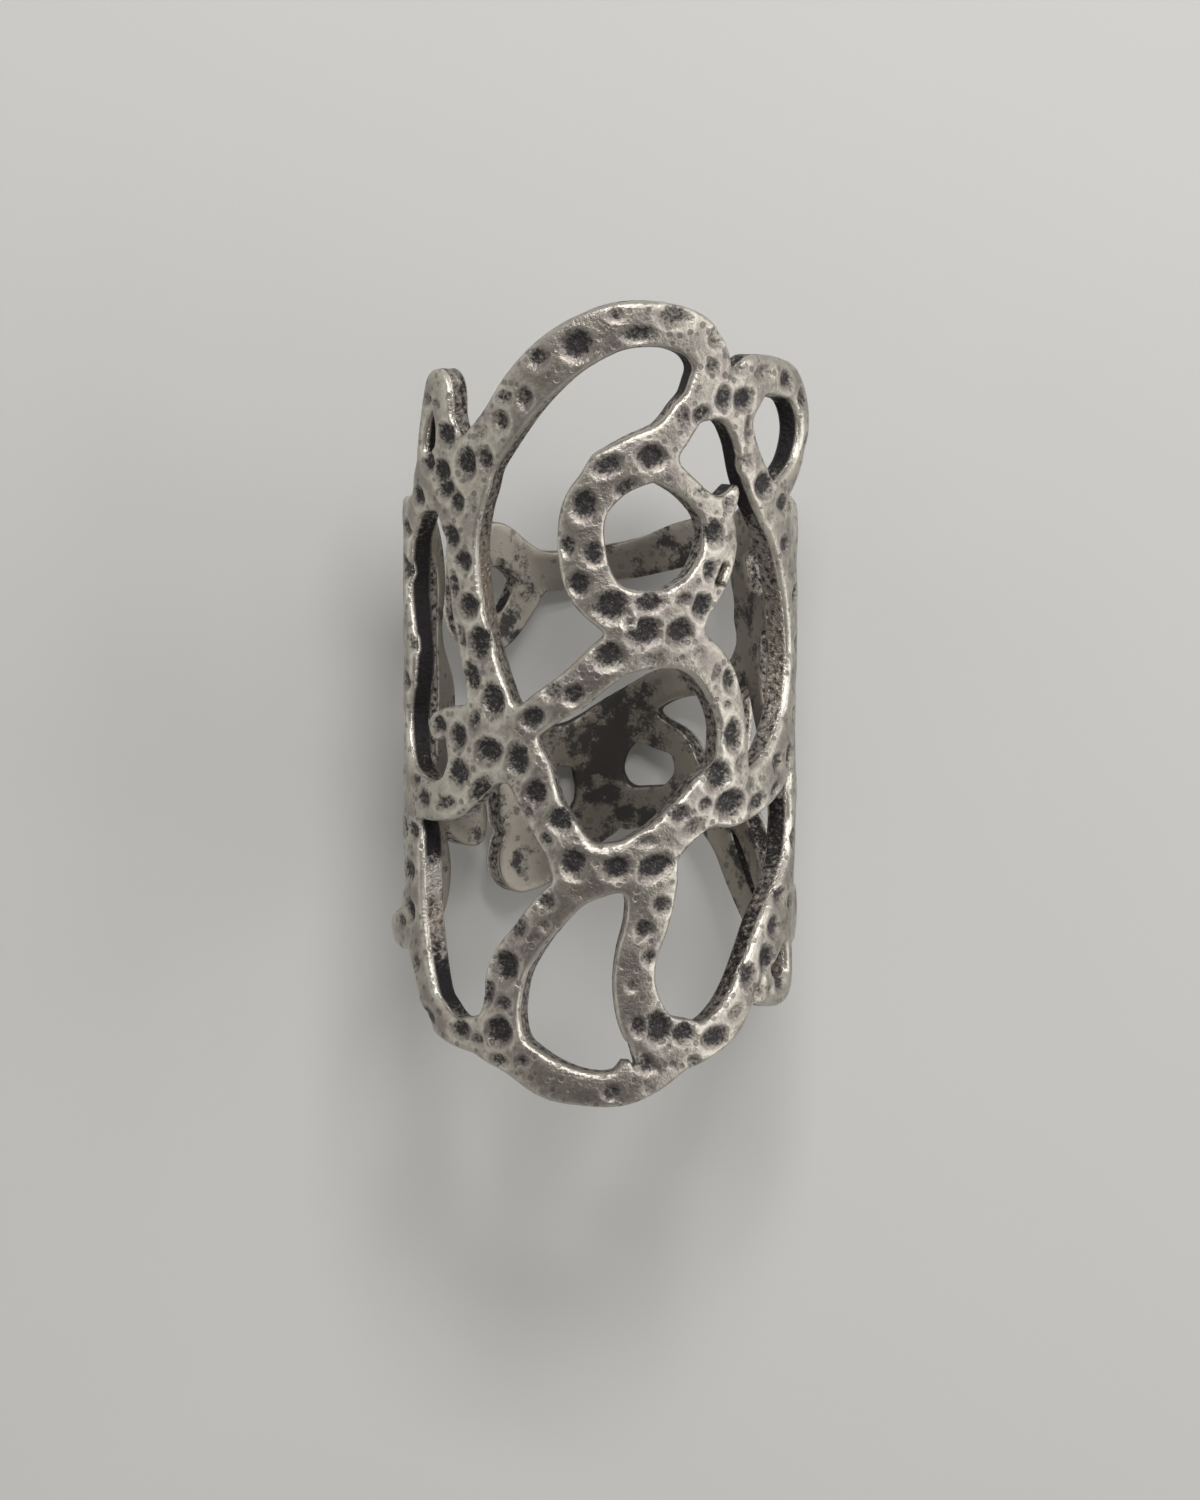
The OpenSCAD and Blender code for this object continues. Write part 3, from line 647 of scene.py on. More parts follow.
def contour_loops(values, level):
    """Closed outlines of the grid's places below a level, as columns and rows, those places on the left."""
    low = values < level
    corners = np.stack([low[:-1, :-1], low[1:, :-1], low[1:, 1:], low[:-1, 1:]], axis=-1)
    mixed = np.argwhere(corners.any(axis=-1) & ~corners.all(axis=-1))
    following = {}
    for i, j in mixed.tolist():
        inside = corners[i, j].tolist()
        # Grid lines round the cell: column, row, and 0 for a line along the columns or 1 along the rows
        sides = [(i, j, 0), (i + 1, j, 1), (i, j + 1, 0), (i, j, 1)]
        for k in range(4):
            if inside[k] and not inside[(k + 1) % 4]:
                first = k
                while inside[first - 1]:
                    first -= 1
                following[sides[k]] = sides[first - 1]
    loops = []
    while following:
        start, side = following.popitem()
        loop = [start]
        while side != start:
            loop.append(side)
            side = following.pop(side)
        column, row, along = np.array(loop).T
        near = values[column, row] - level
        far = values[column + (along == 0), row + (along == 1)] - level
        share = near / (near - far)
        loops.append(np.stack([column + share * (along == 0), row + share * (along == 1)], axis=1))
    return loops


def even_steps(loop, spacing):
    """Points along a closed line, about as far apart as the spacing."""
    closed = np.vstack([loop, loop[:1]])
    lengths = np.linalg.norm(np.diff(closed, axis=0), axis=1)
    travelled = np.concatenate([[0], np.cumsum(lengths)])
    count = max(FEWEST_POINTS, round(travelled[-1] / spacing))
    stops = np.arange(count) * travelled[-1] / count
    return np.stack([np.interp(stops, travelled, closed[:, axis]) for axis in (0, 1)], axis=1)


def honeycomb(pattern, spacing, border, rng):
    """Points in slightly shaken rows over the metal, inside a border along the cut edge."""
    rows = np.arange(LOWEST, HIGHEST, spacing * math.sqrt(3) / 2)
    columns = np.arange(pattern.across[0], pattern.across[-1], spacing)
    points = np.stack(np.meshgrid(columns, rows), axis=-1)
    points[1::2, :, 0] += spacing / 2
    points = points.reshape(-1, 2)
    points += rng.uniform(-INNER_SHAKE, INNER_SHAKE, points.shape) * spacing
    return points[pattern.sample(pattern.gap, points) < -(border + INNER_MARGIN * spacing)]


def loop_ends(sizes):
    """Index of each point of several closed lines, and of the next point along its line."""
    here = np.arange(sum(sizes))
    following = here + 1
    following[np.cumsum(sizes) - 1] = np.cumsum([0] + sizes[:-1])
    return here, following


def fill_between(loops, inner_points):
    """Triangles over the metal between closed lines, through inner points, anticlockwise from outside."""
    points = np.vstack(loops + [inner_points])
    here, following = loop_ends([len(loop) for loop in loops])
    borders = list(zip(here.tolist(), following.tolist()))
    places = [Vector(point) for point in points.tolist()]
    found, _, faces, sources, _, _ = geometry.delaunay_2d_cdt(
        places, borders, [], WHOLE_HULL, SAME_POINT, True
    )
    if len(found) != len(points):
        raise RuntimeError("two cut edges of the pattern cross each other")
    triangles = np.array([source[0] for source in sources])[np.array(faces)]
    corners = triangles.tolist()
    neighbour = {}
    for index, (a, b, c) in enumerate(corners):
        neighbour.update({(a, b): index, (b, c): index, (c, a): index})
    # The metal spreads from triangles between inner points as far as the cut edges
    walls = set(borders) | {(b, a) for a, b in borders}
    is_metal = (triangles >= len(here)).all(axis=1)
    waiting = np.flatnonzero(is_metal).tolist()
    while waiting:
        a, b, c = corners[waiting.pop()]
        for side in ((a, b), (b, c), (c, a)):
            beyond = neighbour.get(side[::-1])
            if side not in walls and beyond is not None and not is_metal[beyond]:
                is_metal[beyond] = True
                waiting.append(beyond)
    return triangles[is_metal]


class Relief:
    """Height of the outer face above an even roll: dome, slow swells, lips and dimples."""

    def __init__(self, pattern, surface):
        self.pattern = pattern
        self.dome = surface.dome / MM
        self.swell = surface.swell / MM
        self.depth_scale = surface.dimple_depth
        charted = []
        for name, rows in DIMPLES.items():
            soot_share = PAINTED_GLINT_SOOT_SHARE if name == "bright with painted glint" else 1
            charted += [(*row, soot_share) for row in rows]
        rng = np.random.default_rng(surface.seed)
        self.dimples = charted + scattered_dimples(pattern, charted, rng)

    def dimpled(self, points):
        """How far the dimples sink the face, and the shares of each point that are pit and rim."""
        sunk, pit, rim = np.zeros((3, len(points)))
        nearest, second = np.full((2, len(points)), FAR)
        shake = smooth_noise(points, OUTLINE_NOISE)
        for angle, height, across, up, turn, depth, soot_share in self.dimples:
            offset = points - (angle * DEGREE, height)
            near = np.flatnonzero(np.abs(offset).max(axis=1) < max(across, up))
            uneven = 1 + OUTLINE_SHAKE * shake[near]
            distance = uneven * half_sizes_away(offset[near], (across, up), turn)
            second[near] = np.minimum(second[near], np.maximum(nearest[near], distance))
            nearest[near] = np.minimum(nearest[near], distance)
            depth = min(depth, STEEPEST * min(across, up))
            strength = min(1, depth / FULL_DEPTH)
            sunk[near] = np.maximum(sunk[near], depth * eased((SINK_START - distance) / SINK_SPAN))
            rim[near] = np.maximum(rim[near], strength * bell((distance - RIM_PLACE) / RIM_WIDTH))
            # The soot is shifted towards the dimple's upper side as painted shade on the inside wall that
            # faces away from the light, and the lower side, which faces the light, stays bare
            distance = uneven * half_sizes_away(offset[near] - (0, SOOT_AND_SHADE_RISE * up), (across, up), turn)
            inside = strength * eased((SOOT_START - distance) / SOOT_SPAN)
            pit[near] = np.maximum(pit[near], soot_share * inside)
            # Painted glint: where a dimple holds less soot, polish lightens its inside
            rim[near] = np.maximum(rim[near], (1 - soot_share) * inside)
        # Where two dimples meet, a bare ridge stands between them
        ridge = eased((second - nearest) / RIDGE_WIDTH)
        sunk *= RIDGE_DEPTH + (1 - RIDGE_DEPTH) * ridge
        pit *= ridge
        return sunk, pit, rim * (1 - pit)

    def at(self, points):
        """Height, and the shares of each point that are pit and rim."""
        sunk, pit, rim = self.dimpled(points)
        sunk *= self.depth_scale * (1 + FLOOR_SHAKE * smooth_noise(points, FLOOR_NOISE))
        gap = self.pattern.sample(self.pattern.gap, points)
        height = RIM_HEIGHT * rim - sunk - self.dome * np.exp(gap / DOME_REACH)
        height += self.swell * smooth_noise(points, SWELL_SIZE)
        for *ends, width, raised in LIPS.values():
            _, distance = beside_line(*points.T, *flat_ends(*ends))
            share = bell(distance / (width / 2))
            height += raised * share
            # A high lip is worn bare
            bare = share * np.clip(raised / BARE_LIP, 0, 1)
            pit *= 1 - bare
            rim = np.maximum(rim, 2 * bare)
        return height, pit, rim


def half_sizes_away(offset, sizes, turn):
    """Distance from the middle of a turned oval, which is 1 all along its outline."""
    angle = math.radians(turn)
    turned = offset @ [(math.cos(angle), -math.sin(angle)), (math.sin(angle), math.cos(angle))]
    return 2 * np.hypot(*(turned / sizes).T)


def smooth_noise(points, size):
    """Smooth noise from about -1 to 1 over the flat pattern, with features of one size in millimetres."""
    return np.array([noise.noise((across / size, up / size, size)) for across, up in points.tolist()])


def scattered_dimples(pattern, charted, rng):
    """Dimples for the far sides and the back, spread evenly and never over each other."""
    placed = [(angle * DEGREE, height, max(across, up)) for angle, height, across, up, *_ in charted]
    dimples = []
    for _ in range(SCATTER_TRIES):
        angle, height, size, squeeze, turn, depth = [rng.uniform(*ends) for ends in SCATTER_RANGES.values()]
        point = (angle * DEGREE, height)
        gap = pattern.sample(pattern.gap, np.array([point]))[0]
        if SEEN_FROM < angle < SEEN_TO or gap > -SCATTER_MARGIN * size:
            continue
        if all(math.dist(point, other[:2]) > (size + other[2]) * SCATTER_SPACING for other in placed):
            placed.append((*point, size))
            dimples.append((angle, height, size, size * squeeze, turn, depth, 1))
    return dimples


def hill(place, points):
    """Bell-shaped bump on the flat pattern. A place is angle, height, and spread in degrees and height."""
    angle, height, turn, length = place
    return bell((points[:, 0] / DEGREE - angle) / turn) * bell((points[:, 1] - height) / length)


class RolledBand:
    """The band's mesh: outer face, inner face, the cut edges between them, and what its finish reads."""

    def __init__(self, shape, surface):
        self.pattern = FlatPattern(shape.fillet / MM)
        self.relief = Relief(self.pattern, surface)
        self.loop_flare = shape.loop_flare / MM
        self.lobe_flare = shape.lobe_flare / MM
        self.rng = np.random.default_rng(surface.seed)
        self.points = []
        self.values = {}
        self.count = 0
        self.faces = []
        self.materials = []
        self.build(shape.edge_roll / MM, shape.outer_step / MM, shape.inner_step / MM)

    def flare(self, points):
        """How far the wall springs outward."""
        return self.loop_flare * hill(LOOP_PLACE, points) + self.lobe_flare * hill(LOBE_PLACE, points)

    def inner_radius(self, points):
        """Radius of the inner face."""
        return BORE_RADIUS + self.flare(points)

    def outer_radius(self, points):
        """Radius of the outer face, which the worn flat at the back cuts, and its pits and rims."""
        height, pit, rim = self.relief.at(points)
        radius = OUTER_RADIUS + self.flare(points) + height
        downward = -np.cos(np.radians(points[:, 0] / DEGREE))
        flat = AXIS_HEIGHT / np.maximum(downward, FLAT_COSINE)
        return np.where(downward > FLAT_COSINE, np.minimum(radius, flat), radius), pit, rim

    def add_points(self, points, radius, down, pit=0, rim=0):
        """Rolls points up at their radii, stores what their finish reads, and gives the first one's index.

        That is the share of each point that is pit and rim, its way down a wall, its nearness to a cut edge
        and to the middle of the front, where the flats are darkened as painted shade, and its soot and
        brown warmth.
        """
        turn = np.radians(points[:, 0] / DEGREE)
        rolled = (radius * np.sin(turn), points[:, 1] + CENTRING, AXIS_HEIGHT + radius * np.cos(turn))
        self.points.append(np.stack(rolled, axis=1))
        # Painted shade: the flats darken towards the middle of the front, for the dark reflection that they
        # give back towards the camera
        spread = MIDDLE_SPREAD + LOWER_SPREAD * eased((LOWER_START - points[:, 1]) / LOWER_FADE)
        soot = PLAIN_SOOT
        warmth = PLAIN_WARMTH
        for *place, more_soot, more_warmth in STAINS.values():
            share = hill(place, points)
            soot = soot + more_soot * share
            warmth = warmth + more_warmth * share
        values = {
            "pit": pit,
            "rim": rim,
            "down": down,
            "edge": np.exp(self.pattern.sample(self.pattern.gap, points) / EDGE_WEAR),
            "tone": bell((points[:, 0] / DEGREE - MIDDLE_ANGLE) / spread),
            "soot": np.clip(soot, 0, 1),
            "warmth": np.clip(warmth, 0, 1),
        }
        for name, value in values.items():
            self.values.setdefault(name, []).append(np.broadcast_to(value, len(points)))
        first = self.count
        self.count += len(points)
        return first

    def add_faces(self, faces, material):
        """Adds faces, given by the indices of their points, in one finish."""
        self.faces.extend(faces.tolist())
        self.materials.extend([material] * len(faces))

    def add_strip(self, upper, lower, material):
        """Faces from one ring of points down to the next, all round every cut edge."""
        quads = [upper + self.here, lower + self.here, lower + self.following, upper + self.following]
        self.add_faces(np.stack(quads, axis=1), material)

    def build(self, roll, outer_step, inner_step):
        """Makes the outer face, the rounded edges, the walls, the inner edges and the inner face."""
        pattern = self.pattern
        outlines = [even_steps(outline, EDGE_STEP) for outline in pattern.outlines(-roll)]
        loops = [pattern.follow_slope(outline, -roll) for outline in outlines]
        sizes = [len(loop) for loop in loops]
        self.here, self.following = loop_ends(sizes)
        turns = np.radians(ROLL_TURNS)
        rings = [np.vstack(loops)]
        for turn in turns[1:]:
            rings.append(pattern.follow_slope(rings[-1], -roll * (1 - math.sin(turn))))
        honey = honeycomb(pattern, outer_step, roll, self.rng)
        face = np.vstack([rings[0], honey])
        radius, pit, rim = self.outer_radius(face)
        upper = self.add_points(face, radius, 0, pit, rim)
        self.add_faces(upper + fill_between(loops, honey), OUTER)
        for ring, turn in zip(rings[1:], turns[1:]):
            radius, pit, rim = self.outer_radius(ring)
            edge_radius = radius - roll * (1 - math.cos(turn))
            lower = self.add_points(ring, edge_radius, 0, pit, rim)
            self.add_strip(upper, lower, OUTER)
            upper = lower
        # The walls are slightly uneven, and the edge at their foot is rounded half as much
        wall = rings[-1]
        slope = pattern.sample(pattern.slope, wall)
        inner_roll = roll / 2
        foot_radius = self.inner_radius(wall) + inner_roll
        for share in WALL_SHARES:
            uneven = wall + WALL_SHAKE * smooth_noise(wall + share, WALL_NOISE)[:, None] * slope
            lower = self.add_points(uneven, edge_radius + share * (foot_radius - edge_radius), share)
            self.add_strip(upper, lower, CUT)
            upper = lower
        for ring in rings[:0:-1]:
            inward = -pattern.sample(pattern.gap, ring) / inner_roll
            rise = inner_roll * (1 - np.sqrt(np.clip(1 - (1 - inward) ** 2, 0, 1)))
            lower = self.add_points(ring, self.inner_radius(ring) + rise, 1)
            self.add_strip(upper, lower, CUT if ring is wall else INNER)
            upper = lower
        inner_loops = np.split(rings[1], np.cumsum(sizes)[:-1])
        inner_honey = honeycomb(pattern, inner_step, inner_roll, self.rng)
        first = self.add_points(inner_honey, self.inner_radius(inner_honey), 1)
        triangles = fill_between(inner_loops, inner_honey)[:, ::-1]
        on_ring = triangles < len(rings[1])
        self.add_faces(np.where(on_ring, upper + triangles, first + triangles - len(rings[1])), INNER)

    def mesh(self, name):
        """Blender mesh, in metres, with the stored values as attributes."""
        made = bpy.data.meshes.new(name)
        made.from_pydata((np.vstack(self.points) * MM).tolist(), [], self.faces)
        made.polygons.foreach_set("material_index", self.materials)
        made.polygons.foreach_set("use_smooth", [True] * len(self.faces))
        for value, parts in self.values.items():
            attribute = made.attributes.new(value, "FLOAT", "POINT")
            attribute.data.foreach_set("value", np.concatenate(parts))
        made.update()
        return made


def add_node(tree, kind, inputs=None, **settings):
    """Adds a node, sets its properties, and sets or links its inputs by name or number."""
    made = tree.nodes.new("ShaderNode" + kind)
    for name, value in settings.items():
        setattr(made, name, value)
    for name, value in (inputs or {}).items():
        if isinstance(value, bpy.types.NodeSocket):
            tree.links.new(value, made.inputs[name])
        else:
            made.inputs[name].default_value = value
    return made


def math_node(tree, operation, *values):
    """Result of one operation on numbers that change over the surface."""
    return add_node(tree, "Math", dict(enumerate(values)), operation=operation).outputs[0]


def weighted_sum(tree, start, *terms):
    """A start and values that are added to it, each given with its weight."""
    for value, weight in terms:
        start = math_node(tree, "MULTIPLY_ADD", value, weight, start)
    return start


def eased_mask(tree, value, low, high):
    """Smooth mask that is 0 below the low value and 1 above the high one, or the other way round."""
    inputs = {"Value": value, "From Min": low, "From Max": high}
    return add_node(tree, "MapRange", inputs, interpolation_type="SMOOTHSTEP").outputs["Result"]


def mixed_colour(tree, share, first, second):
    """Mix of two colours, which are the node's inputs 6 and 7 and its output 2."""
    return add_node(tree, "Mix", {"Factor": share, 6: first, 7: second}, data_type="RGBA").outputs[2]


def mixed_value(tree, share, first, second):
    """Mix of two numbers."""
    return add_node(tree, "Mix", {"Factor": share, "A": first, "B": second}, data_type="FLOAT").outputs[0]


def noise_texture(tree, place, scale, detail, roughness=0.5):
    """Cloudy noise from 0 to 1."""
    inputs = {"Vector": place, "Scale": scale, "Detail": detail, "Roughness": roughness}
    return add_node(tree, "TexNoise", inputs).outputs["Fac"]


def stored_value(tree, name):
    """A value that the mesh holds at each point."""
    return add_node(tree, "Attribute", attribute_type="GEOMETRY", attribute_name=name).outputs["Fac"]


def new_group(name, inputs):
    """Node group, and its input values. Inputs give name, kind of socket and default."""
    tree = bpy.data.node_groups.new(name, "ShaderNodeTree")
    for label, kind, default in inputs:
        socket = tree.interface.new_socket(label, in_out="INPUT", socket_type="NodeSocket" + kind)
        socket.default_value = default
    return tree, tree.nodes.new("NodeGroupInput").outputs


def finish_group(tree, outputs):
    """Gives a node group its outputs, by name, kind of socket and value."""
    for label, kind, _ in outputs:
        tree.interface.new_socket(label, in_out="OUTPUT", socket_type="NodeSocket" + kind)
    result = tree.nodes.new("NodeGroupOutput")
    for label, _, value in outputs:
        tree.links.new(value, result.inputs[label])


def placed_group(tree, name, inputs):
    """Node group placed in a material with its own values, as the group's outputs."""
    return add_node(tree, "Group", inputs, node_tree=bpy.data.node_groups[name]).outputs


def grain_group():
    """Skin of the casting: slow mottling, fine grain, scattered pores, and bright specks that the materials
    use as painted glints.
    """
    sizes = [("Grain size", "Float", 0.25), ("Pore size", "Float", 0.5), ("Crust", "Float", 0.3)]
    tree, given = new_group("Cast grain", sizes)
    metres = add_node(tree, "TexCoord").outputs["Object"]
    place = add_node(tree, "VectorMath", {0: metres, "Scale": 1 / MM}, operation="SCALE").outputs[0]
    mottle = noise_texture(tree, place, scale=0.7, detail=5.0, roughness=0.6)
    grain_density = math_node(tree, "DIVIDE", 1.0, given["Grain size"])
    grain = noise_texture(tree, place, grain_density, detail=4.0, roughness=0.62)
    fine = noise_texture(tree, place, scale=6.5, detail=3.0, roughness=0.6)
    pore_density = math_node(tree, "DIVIDE", 1.0, given["Pore size"])
    cells = add_node(tree, "TexVoronoi", {"Vector": place, "Scale": pore_density}).outputs["Distance"]
    pores = eased_mask(tree, weighted_sum(tree, cells, (grain, -0.5)), low=0.08, high=-0.06)
    finish_group(tree, [
        ("Mottle", "Float", mottle),
        ("Grain", "Float", grain),
        ("Pores", "Float", pores),
        ("Specks", "Float", eased_mask(tree, fine, low=0.53, high=0.68)),
        ("Height", "Float", weighted_sum(tree, grain, (fine, given["Crust"]), (pores, -0.6))),
    ])


def darkening_group():
    """Colour and finish of silver from bare and polished to black with sulphide."""
    tree, given = new_group("Silver darkening", [
        ("Polished", "Color", (1, 1, 1, 1)),
        ("Bare", "Color", (0.5, 0.5, 0.5, 1)),
        ("Dark", "Color", (0.02, 0.02, 0.02, 1)),
        ("Polish", "Float", 0.0),
        ("Soot", "Float", 0.0),
        ("Polished roughness", "Float", 0.2),
        ("Bare roughness", "Float", 0.4),
        ("Dark roughness", "Float", 0.6),
    ])
    polish = given["Polish"]
    soot = given["Soot"]
    bright = mixed_colour(tree, polish, given["Bare"], given["Polished"])
    bright_roughness = mixed_value(tree, polish, given["Bare roughness"], given["Polished roughness"])
    finish_group(tree, [
        ("Color", "Color", mixed_colour(tree, soot, bright, given["Dark"])),
        ("Roughness", "Float", mixed_value(tree, soot, bright_roughness, given["Dark roughness"])),
        ("Metallic", "Float", weighted_sum(tree, 1.0, (soot, -0.55))),
    ])


def new_material(name):
    """Material, and its empty node tree."""
    material = bpy.data.materials.new(name)
    material.use_nodes = True
    material.node_tree.nodes.clear()
    return material, material.node_tree


def new_grain(tree, grain_size, pore_size, crust):
    """Cast grain with its own sizes in millimetres and its share of coarse crust."""
    inputs = {"Grain size": grain_size, "Pore size": pore_size, "Crust": crust}
    return placed_group(tree, "Cast grain", inputs)


def add_shader(tree, inputs):
    """Adds a material's shader with its inputs, and the output that shows it."""
    shader = add_node(tree, "BsdfPrincipled", inputs)
    add_node(tree, "OutputMaterial", {"Surface": shader.outputs[0]})


def add_silver(tree, finish, grain, bare, polish, soot, roughness, bump_depth, specular=0.5):
    """Adds a shader of darkened silver. Roughness is polished, bare and dark, bump depth in millimetres."""
    inputs = dict(zip(("Polished roughness", "Bare roughness", "Dark roughness"), roughness))
    inputs.update({"Polished": finish.polished, "Bare": bare, "Dark": finish.dark})
    inputs.update({"Polish": polish, "Soot": soot})
    silver = placed_group(tree, "Silver darkening", inputs)
    bump = add_node(tree, "Bump", {"Height": grain["Height"], "Distance": bump_depth * MM})
    add_shader(tree, {
        "Base Color": silver["Color"],
        "Roughness": silver["Roughness"],
        "Metallic": silver["Metallic"],
        "Normal": bump.outputs["Normal"],
        "Specular IOR Level": specular,
    })


def outer_material(finish):
    """Hammered outer face: polished rims and edges, duller flats that are darker in the middle of the front
    as painted shade, and dark pits with bright specks of painted glint.
    """
    material, tree = new_material("outer silver")
    pit = stored_value(tree, "pit")
    crust = weighted_sum(tree, 0.25, (pit, 1.6))
    grain = new_grain(tree, grain_size=0.22, pore_size=0.6, crust=crust)
    # Mottle and grain are 0.5 on average, so that they add and take away about as much polish
    edge = (stored_value(tree, "edge"), 0.6)
    rim = (stored_value(tree, "rim"), 0.3)
    polish = weighted_sum(tree, -0.8, edge, rim, (grain["Mottle"], 0.8), (grain["Grain"], 0.8))
    broken_pit = weighted_sum(tree, pit, (grain["Grain"], 2.2))
    # Painted glints: bright specks lift the soot in the pits
    soot_under_painted_glints = weighted_sum(tree, 1.0, (grain["Specks"], -0.3))
    pit_soot = math_node(tree, "MULTIPLY", eased_mask(tree, broken_pit, low=1.22, high=1.98), soot_under_painted_glints)
    soot = math_node(tree, "MAXIMUM", pit_soot, math_node(tree, "MULTIPLY", grain["Pores"], 0.5))
    # Painted shade: towards the middle of the front the flats take the darker middle colour
    flat_with_painted_shade = mixed_colour(tree, stored_value(tree, "tone"), finish.face, finish.face_middle_painted_shade)
    clouds = eased_mask(tree, grain["Mottle"], low=0.56, high=0.42)
    bare = mixed_colour(tree, math_node(tree, "MULTIPLY", clouds, 0.6), flat_with_painted_shade, finish.mauve)
    add_silver(tree, finish, grain, bare, polish, soot, roughness=(0.3, 0.42, 0.55), bump_depth=0.05)
    return material


def cut_material(finish):
    """Walls of the openings: as cast, from satin through brown to black, coarse, with bright specks of
    painted glint.
    """
    material, tree = new_material("cut silver")
    grain = new_grain(tree, grain_size=0.3, pore_size=0.45, crust=1.1)
    down = stored_value(tree, "down")
    stain = stored_value(tree, "soot")
    polish = eased_mask(tree, down, low=0.2, high=0)
    below_edge = eased_mask(tree, down, low=0, high=0.25)
    broken_stain = weighted_sum(tree, stain, (grain["Grain"], 1.4))
    wall_soot = math_node(tree, "MULTIPLY", eased_mask(tree, broken_stain, low=0.95, high=1.35), below_edge)
    # Painted glints: the specks lift the soot where the wall holds little stain
    painted_glitter = math_node(tree, "MULTIPLY", grain["Specks"], math_node(tree, "SUBTRACT", 1.0, stain))
    soot = math_node(tree, "MULTIPLY", wall_soot, weighted_sum(tree, 1.0, (painted_glitter, -0.8)))
    bare = mixed_colour(tree, stored_value(tree, "warmth"), finish.wall, finish.wall_warm)
    add_silver(
        tree, finish, grain, bare, polish, soot, roughness=(0.24, 0.34, 0.48), bump_depth=0.1, specular=0.15
    )
    return material


def inner_material(finish):
    """Inside of the band: even satin, mottled dark where the stains are."""
    material, tree = new_material("inner silver")
    grain = new_grain(tree, grain_size=0.16, pore_size=0.8, crust=0.2)
    stain = stored_value(tree, "soot")
    broken_stain = weighted_sum(tree, stain, (grain["Mottle"], 3.0), (grain["Grain"], 0.9))
    stain_soot = math_node(tree, "MULTIPLY", eased_mask(tree, broken_stain, low=2.4, high=2.85), 0.92)
    soot = math_node(tree, "MAXIMUM", stain_soot, math_node(tree, "MULTIPLY", grain["Pores"], 0.45))
    polish = math_node(tree, "MULTIPLY", grain["Mottle"], 0.3)
    bare = mixed_colour(tree, stored_value(tree, "warmth"), finish.inside, finish.wall_warm)
    add_silver(tree, finish, grain, bare, polish, soot, roughness=(0.3, 0.42, 0.55), bump_depth=0.012)
    return material


def floor_material(colour):
    """Pale matt floor with a barely seen mottle."""
    material, tree = new_material("pale floor")
    place = add_node(tree, "TexCoord").outputs["Object"]
    cloud = noise_texture(tree, place, scale=30.0, detail=3.0)
    shade = [FLOOR_SHADE * part for part in colour[:3]]
    add_shader(tree, {"Base Color": mixed_colour(tree, cloud, (*shade, 1), colour), "Roughness": 0.7})
    return material


def colour_property(name, description, default):
    """Property for a colour with its alpha."""
    return bpy.props.FloatVectorProperty(
        name=name, description=description, default=default, subtype="COLOR", size=4, min=0, max=1
    )


def number_property(name, description, default, lowest=0, **options):
    """Property for a number that has a lowest value."""
    return bpy.props.FloatProperty(
        name=name, description=description, default=default, min=lowest, **options
    )


def length_property(name, description, default):
    """Property for a length, with its default in millimetres."""
    return number_property(name, description, default * MM, unit="LENGTH", precision=5)


class RingShape(bpy.types.PropertyGroup):
    """Sizes of the band's openwork and cut edges."""

    fillet: length_property("Fillet", "Width of the blend where two strands meet", 0.5)
    edge_roll: length_property("Edge roll", "Radius of the rounding along the outer cut edges", 0.22)
    loop_flare: length_property("Loop flare", "How far the upper right loop springs outward", 0.7)
    lobe_flare: length_property("Lobe flare", "How far the lower left lobe springs outward", 0.7)
    outer_step: length_property("Outer step", "Distance between the points of the outer face", 0.15)
    inner_step: length_property("Inner step", "Distance between the points of the inner face", 0.4)


class RingSurface(bpy.types.PropertyGroup):
    """Relief of the outer face."""

    dome: length_property("Dome", "How far the outer face falls towards its cut edges", 0.12)
    swell: length_property("Swell", "Height of the slow swells of the outer face", 0.04)
    dimple_depth: number_property("Dimple depth", "Depth of all dimples, as a share of what is charted", 1)
    seed: bpy.props.IntProperty(name="Seed", description="Start of the random draws", default=7)


class RingFinish(bpy.types.PropertyGroup):
    """Colours of the silver, as a metal reflects them."""

    polished: colour_property("Polished", "Rims and edges that wear keeps bright", (0.75, 0.71, 0.63, 1))
    face: colour_property("Face", "Flats of the outer face at the sides", (0.44, 0.418, 0.352, 1))
    # Painted shade: the middle colour is darker than the face, for the dark reflection of the flat front
    face_middle_painted_shade: colour_property("Face, middle, painted shade", "Flats in the middle of the front", (0.245, 0.22, 0.19, 1))
    wall: colour_property("Wall", "Cut walls of the openings", (0.42, 0.39, 0.36, 1))
    wall_warm: colour_property("Wall, warm", "Walls that have tarnished brown", (0.33, 0.275, 0.22, 1))
    inside: colour_property("Inside", "Inner face of the band", (0.25, 0.235, 0.205, 1))
    mauve: colour_property("Mauve", "Thin tarnish in clouds on the outer face", (0.24, 0.205, 0.2, 1))
    dark: colour_property("Dark", "Sulphide in the pits and on the walls", (0.024, 0.021, 0.022, 1))


class StageSettings(bpy.types.PropertyGroup):
    """Floor, lights and camera."""

    floor: colour_property("Floor", "Colour of the floor", (0.6, 0.595, 0.58, 1))
    horizon: number_property("Horizon", "Strength of the light from low all round", 0.68)
    zenith: number_property("Zenith", "Strength of the light from straight above", 0.22)
    key: number_property("Key", "Power of the main light", 0.64, unit="POWER")
    left_fill: number_property("Left fill", "Power of the light at the left", 0.175, unit="POWER")
    right_fill: number_property("Right fill", "Power of the light at the right", 0.8, unit="POWER")
    distance: number_property(
        "Distance", "From the camera to the ring's middle", 0.32, lowest=0.05, unit="LENGTH"
    )
    rise: bpy.props.FloatProperty(
        name="Rise", description="Angle by which the camera stands towards the ring's top end",
        default=math.radians(6), subtype="ANGLE",
    )
    lens: number_property("Lens", "Focal length", 145.9, lowest=1, unit="CAMERA")


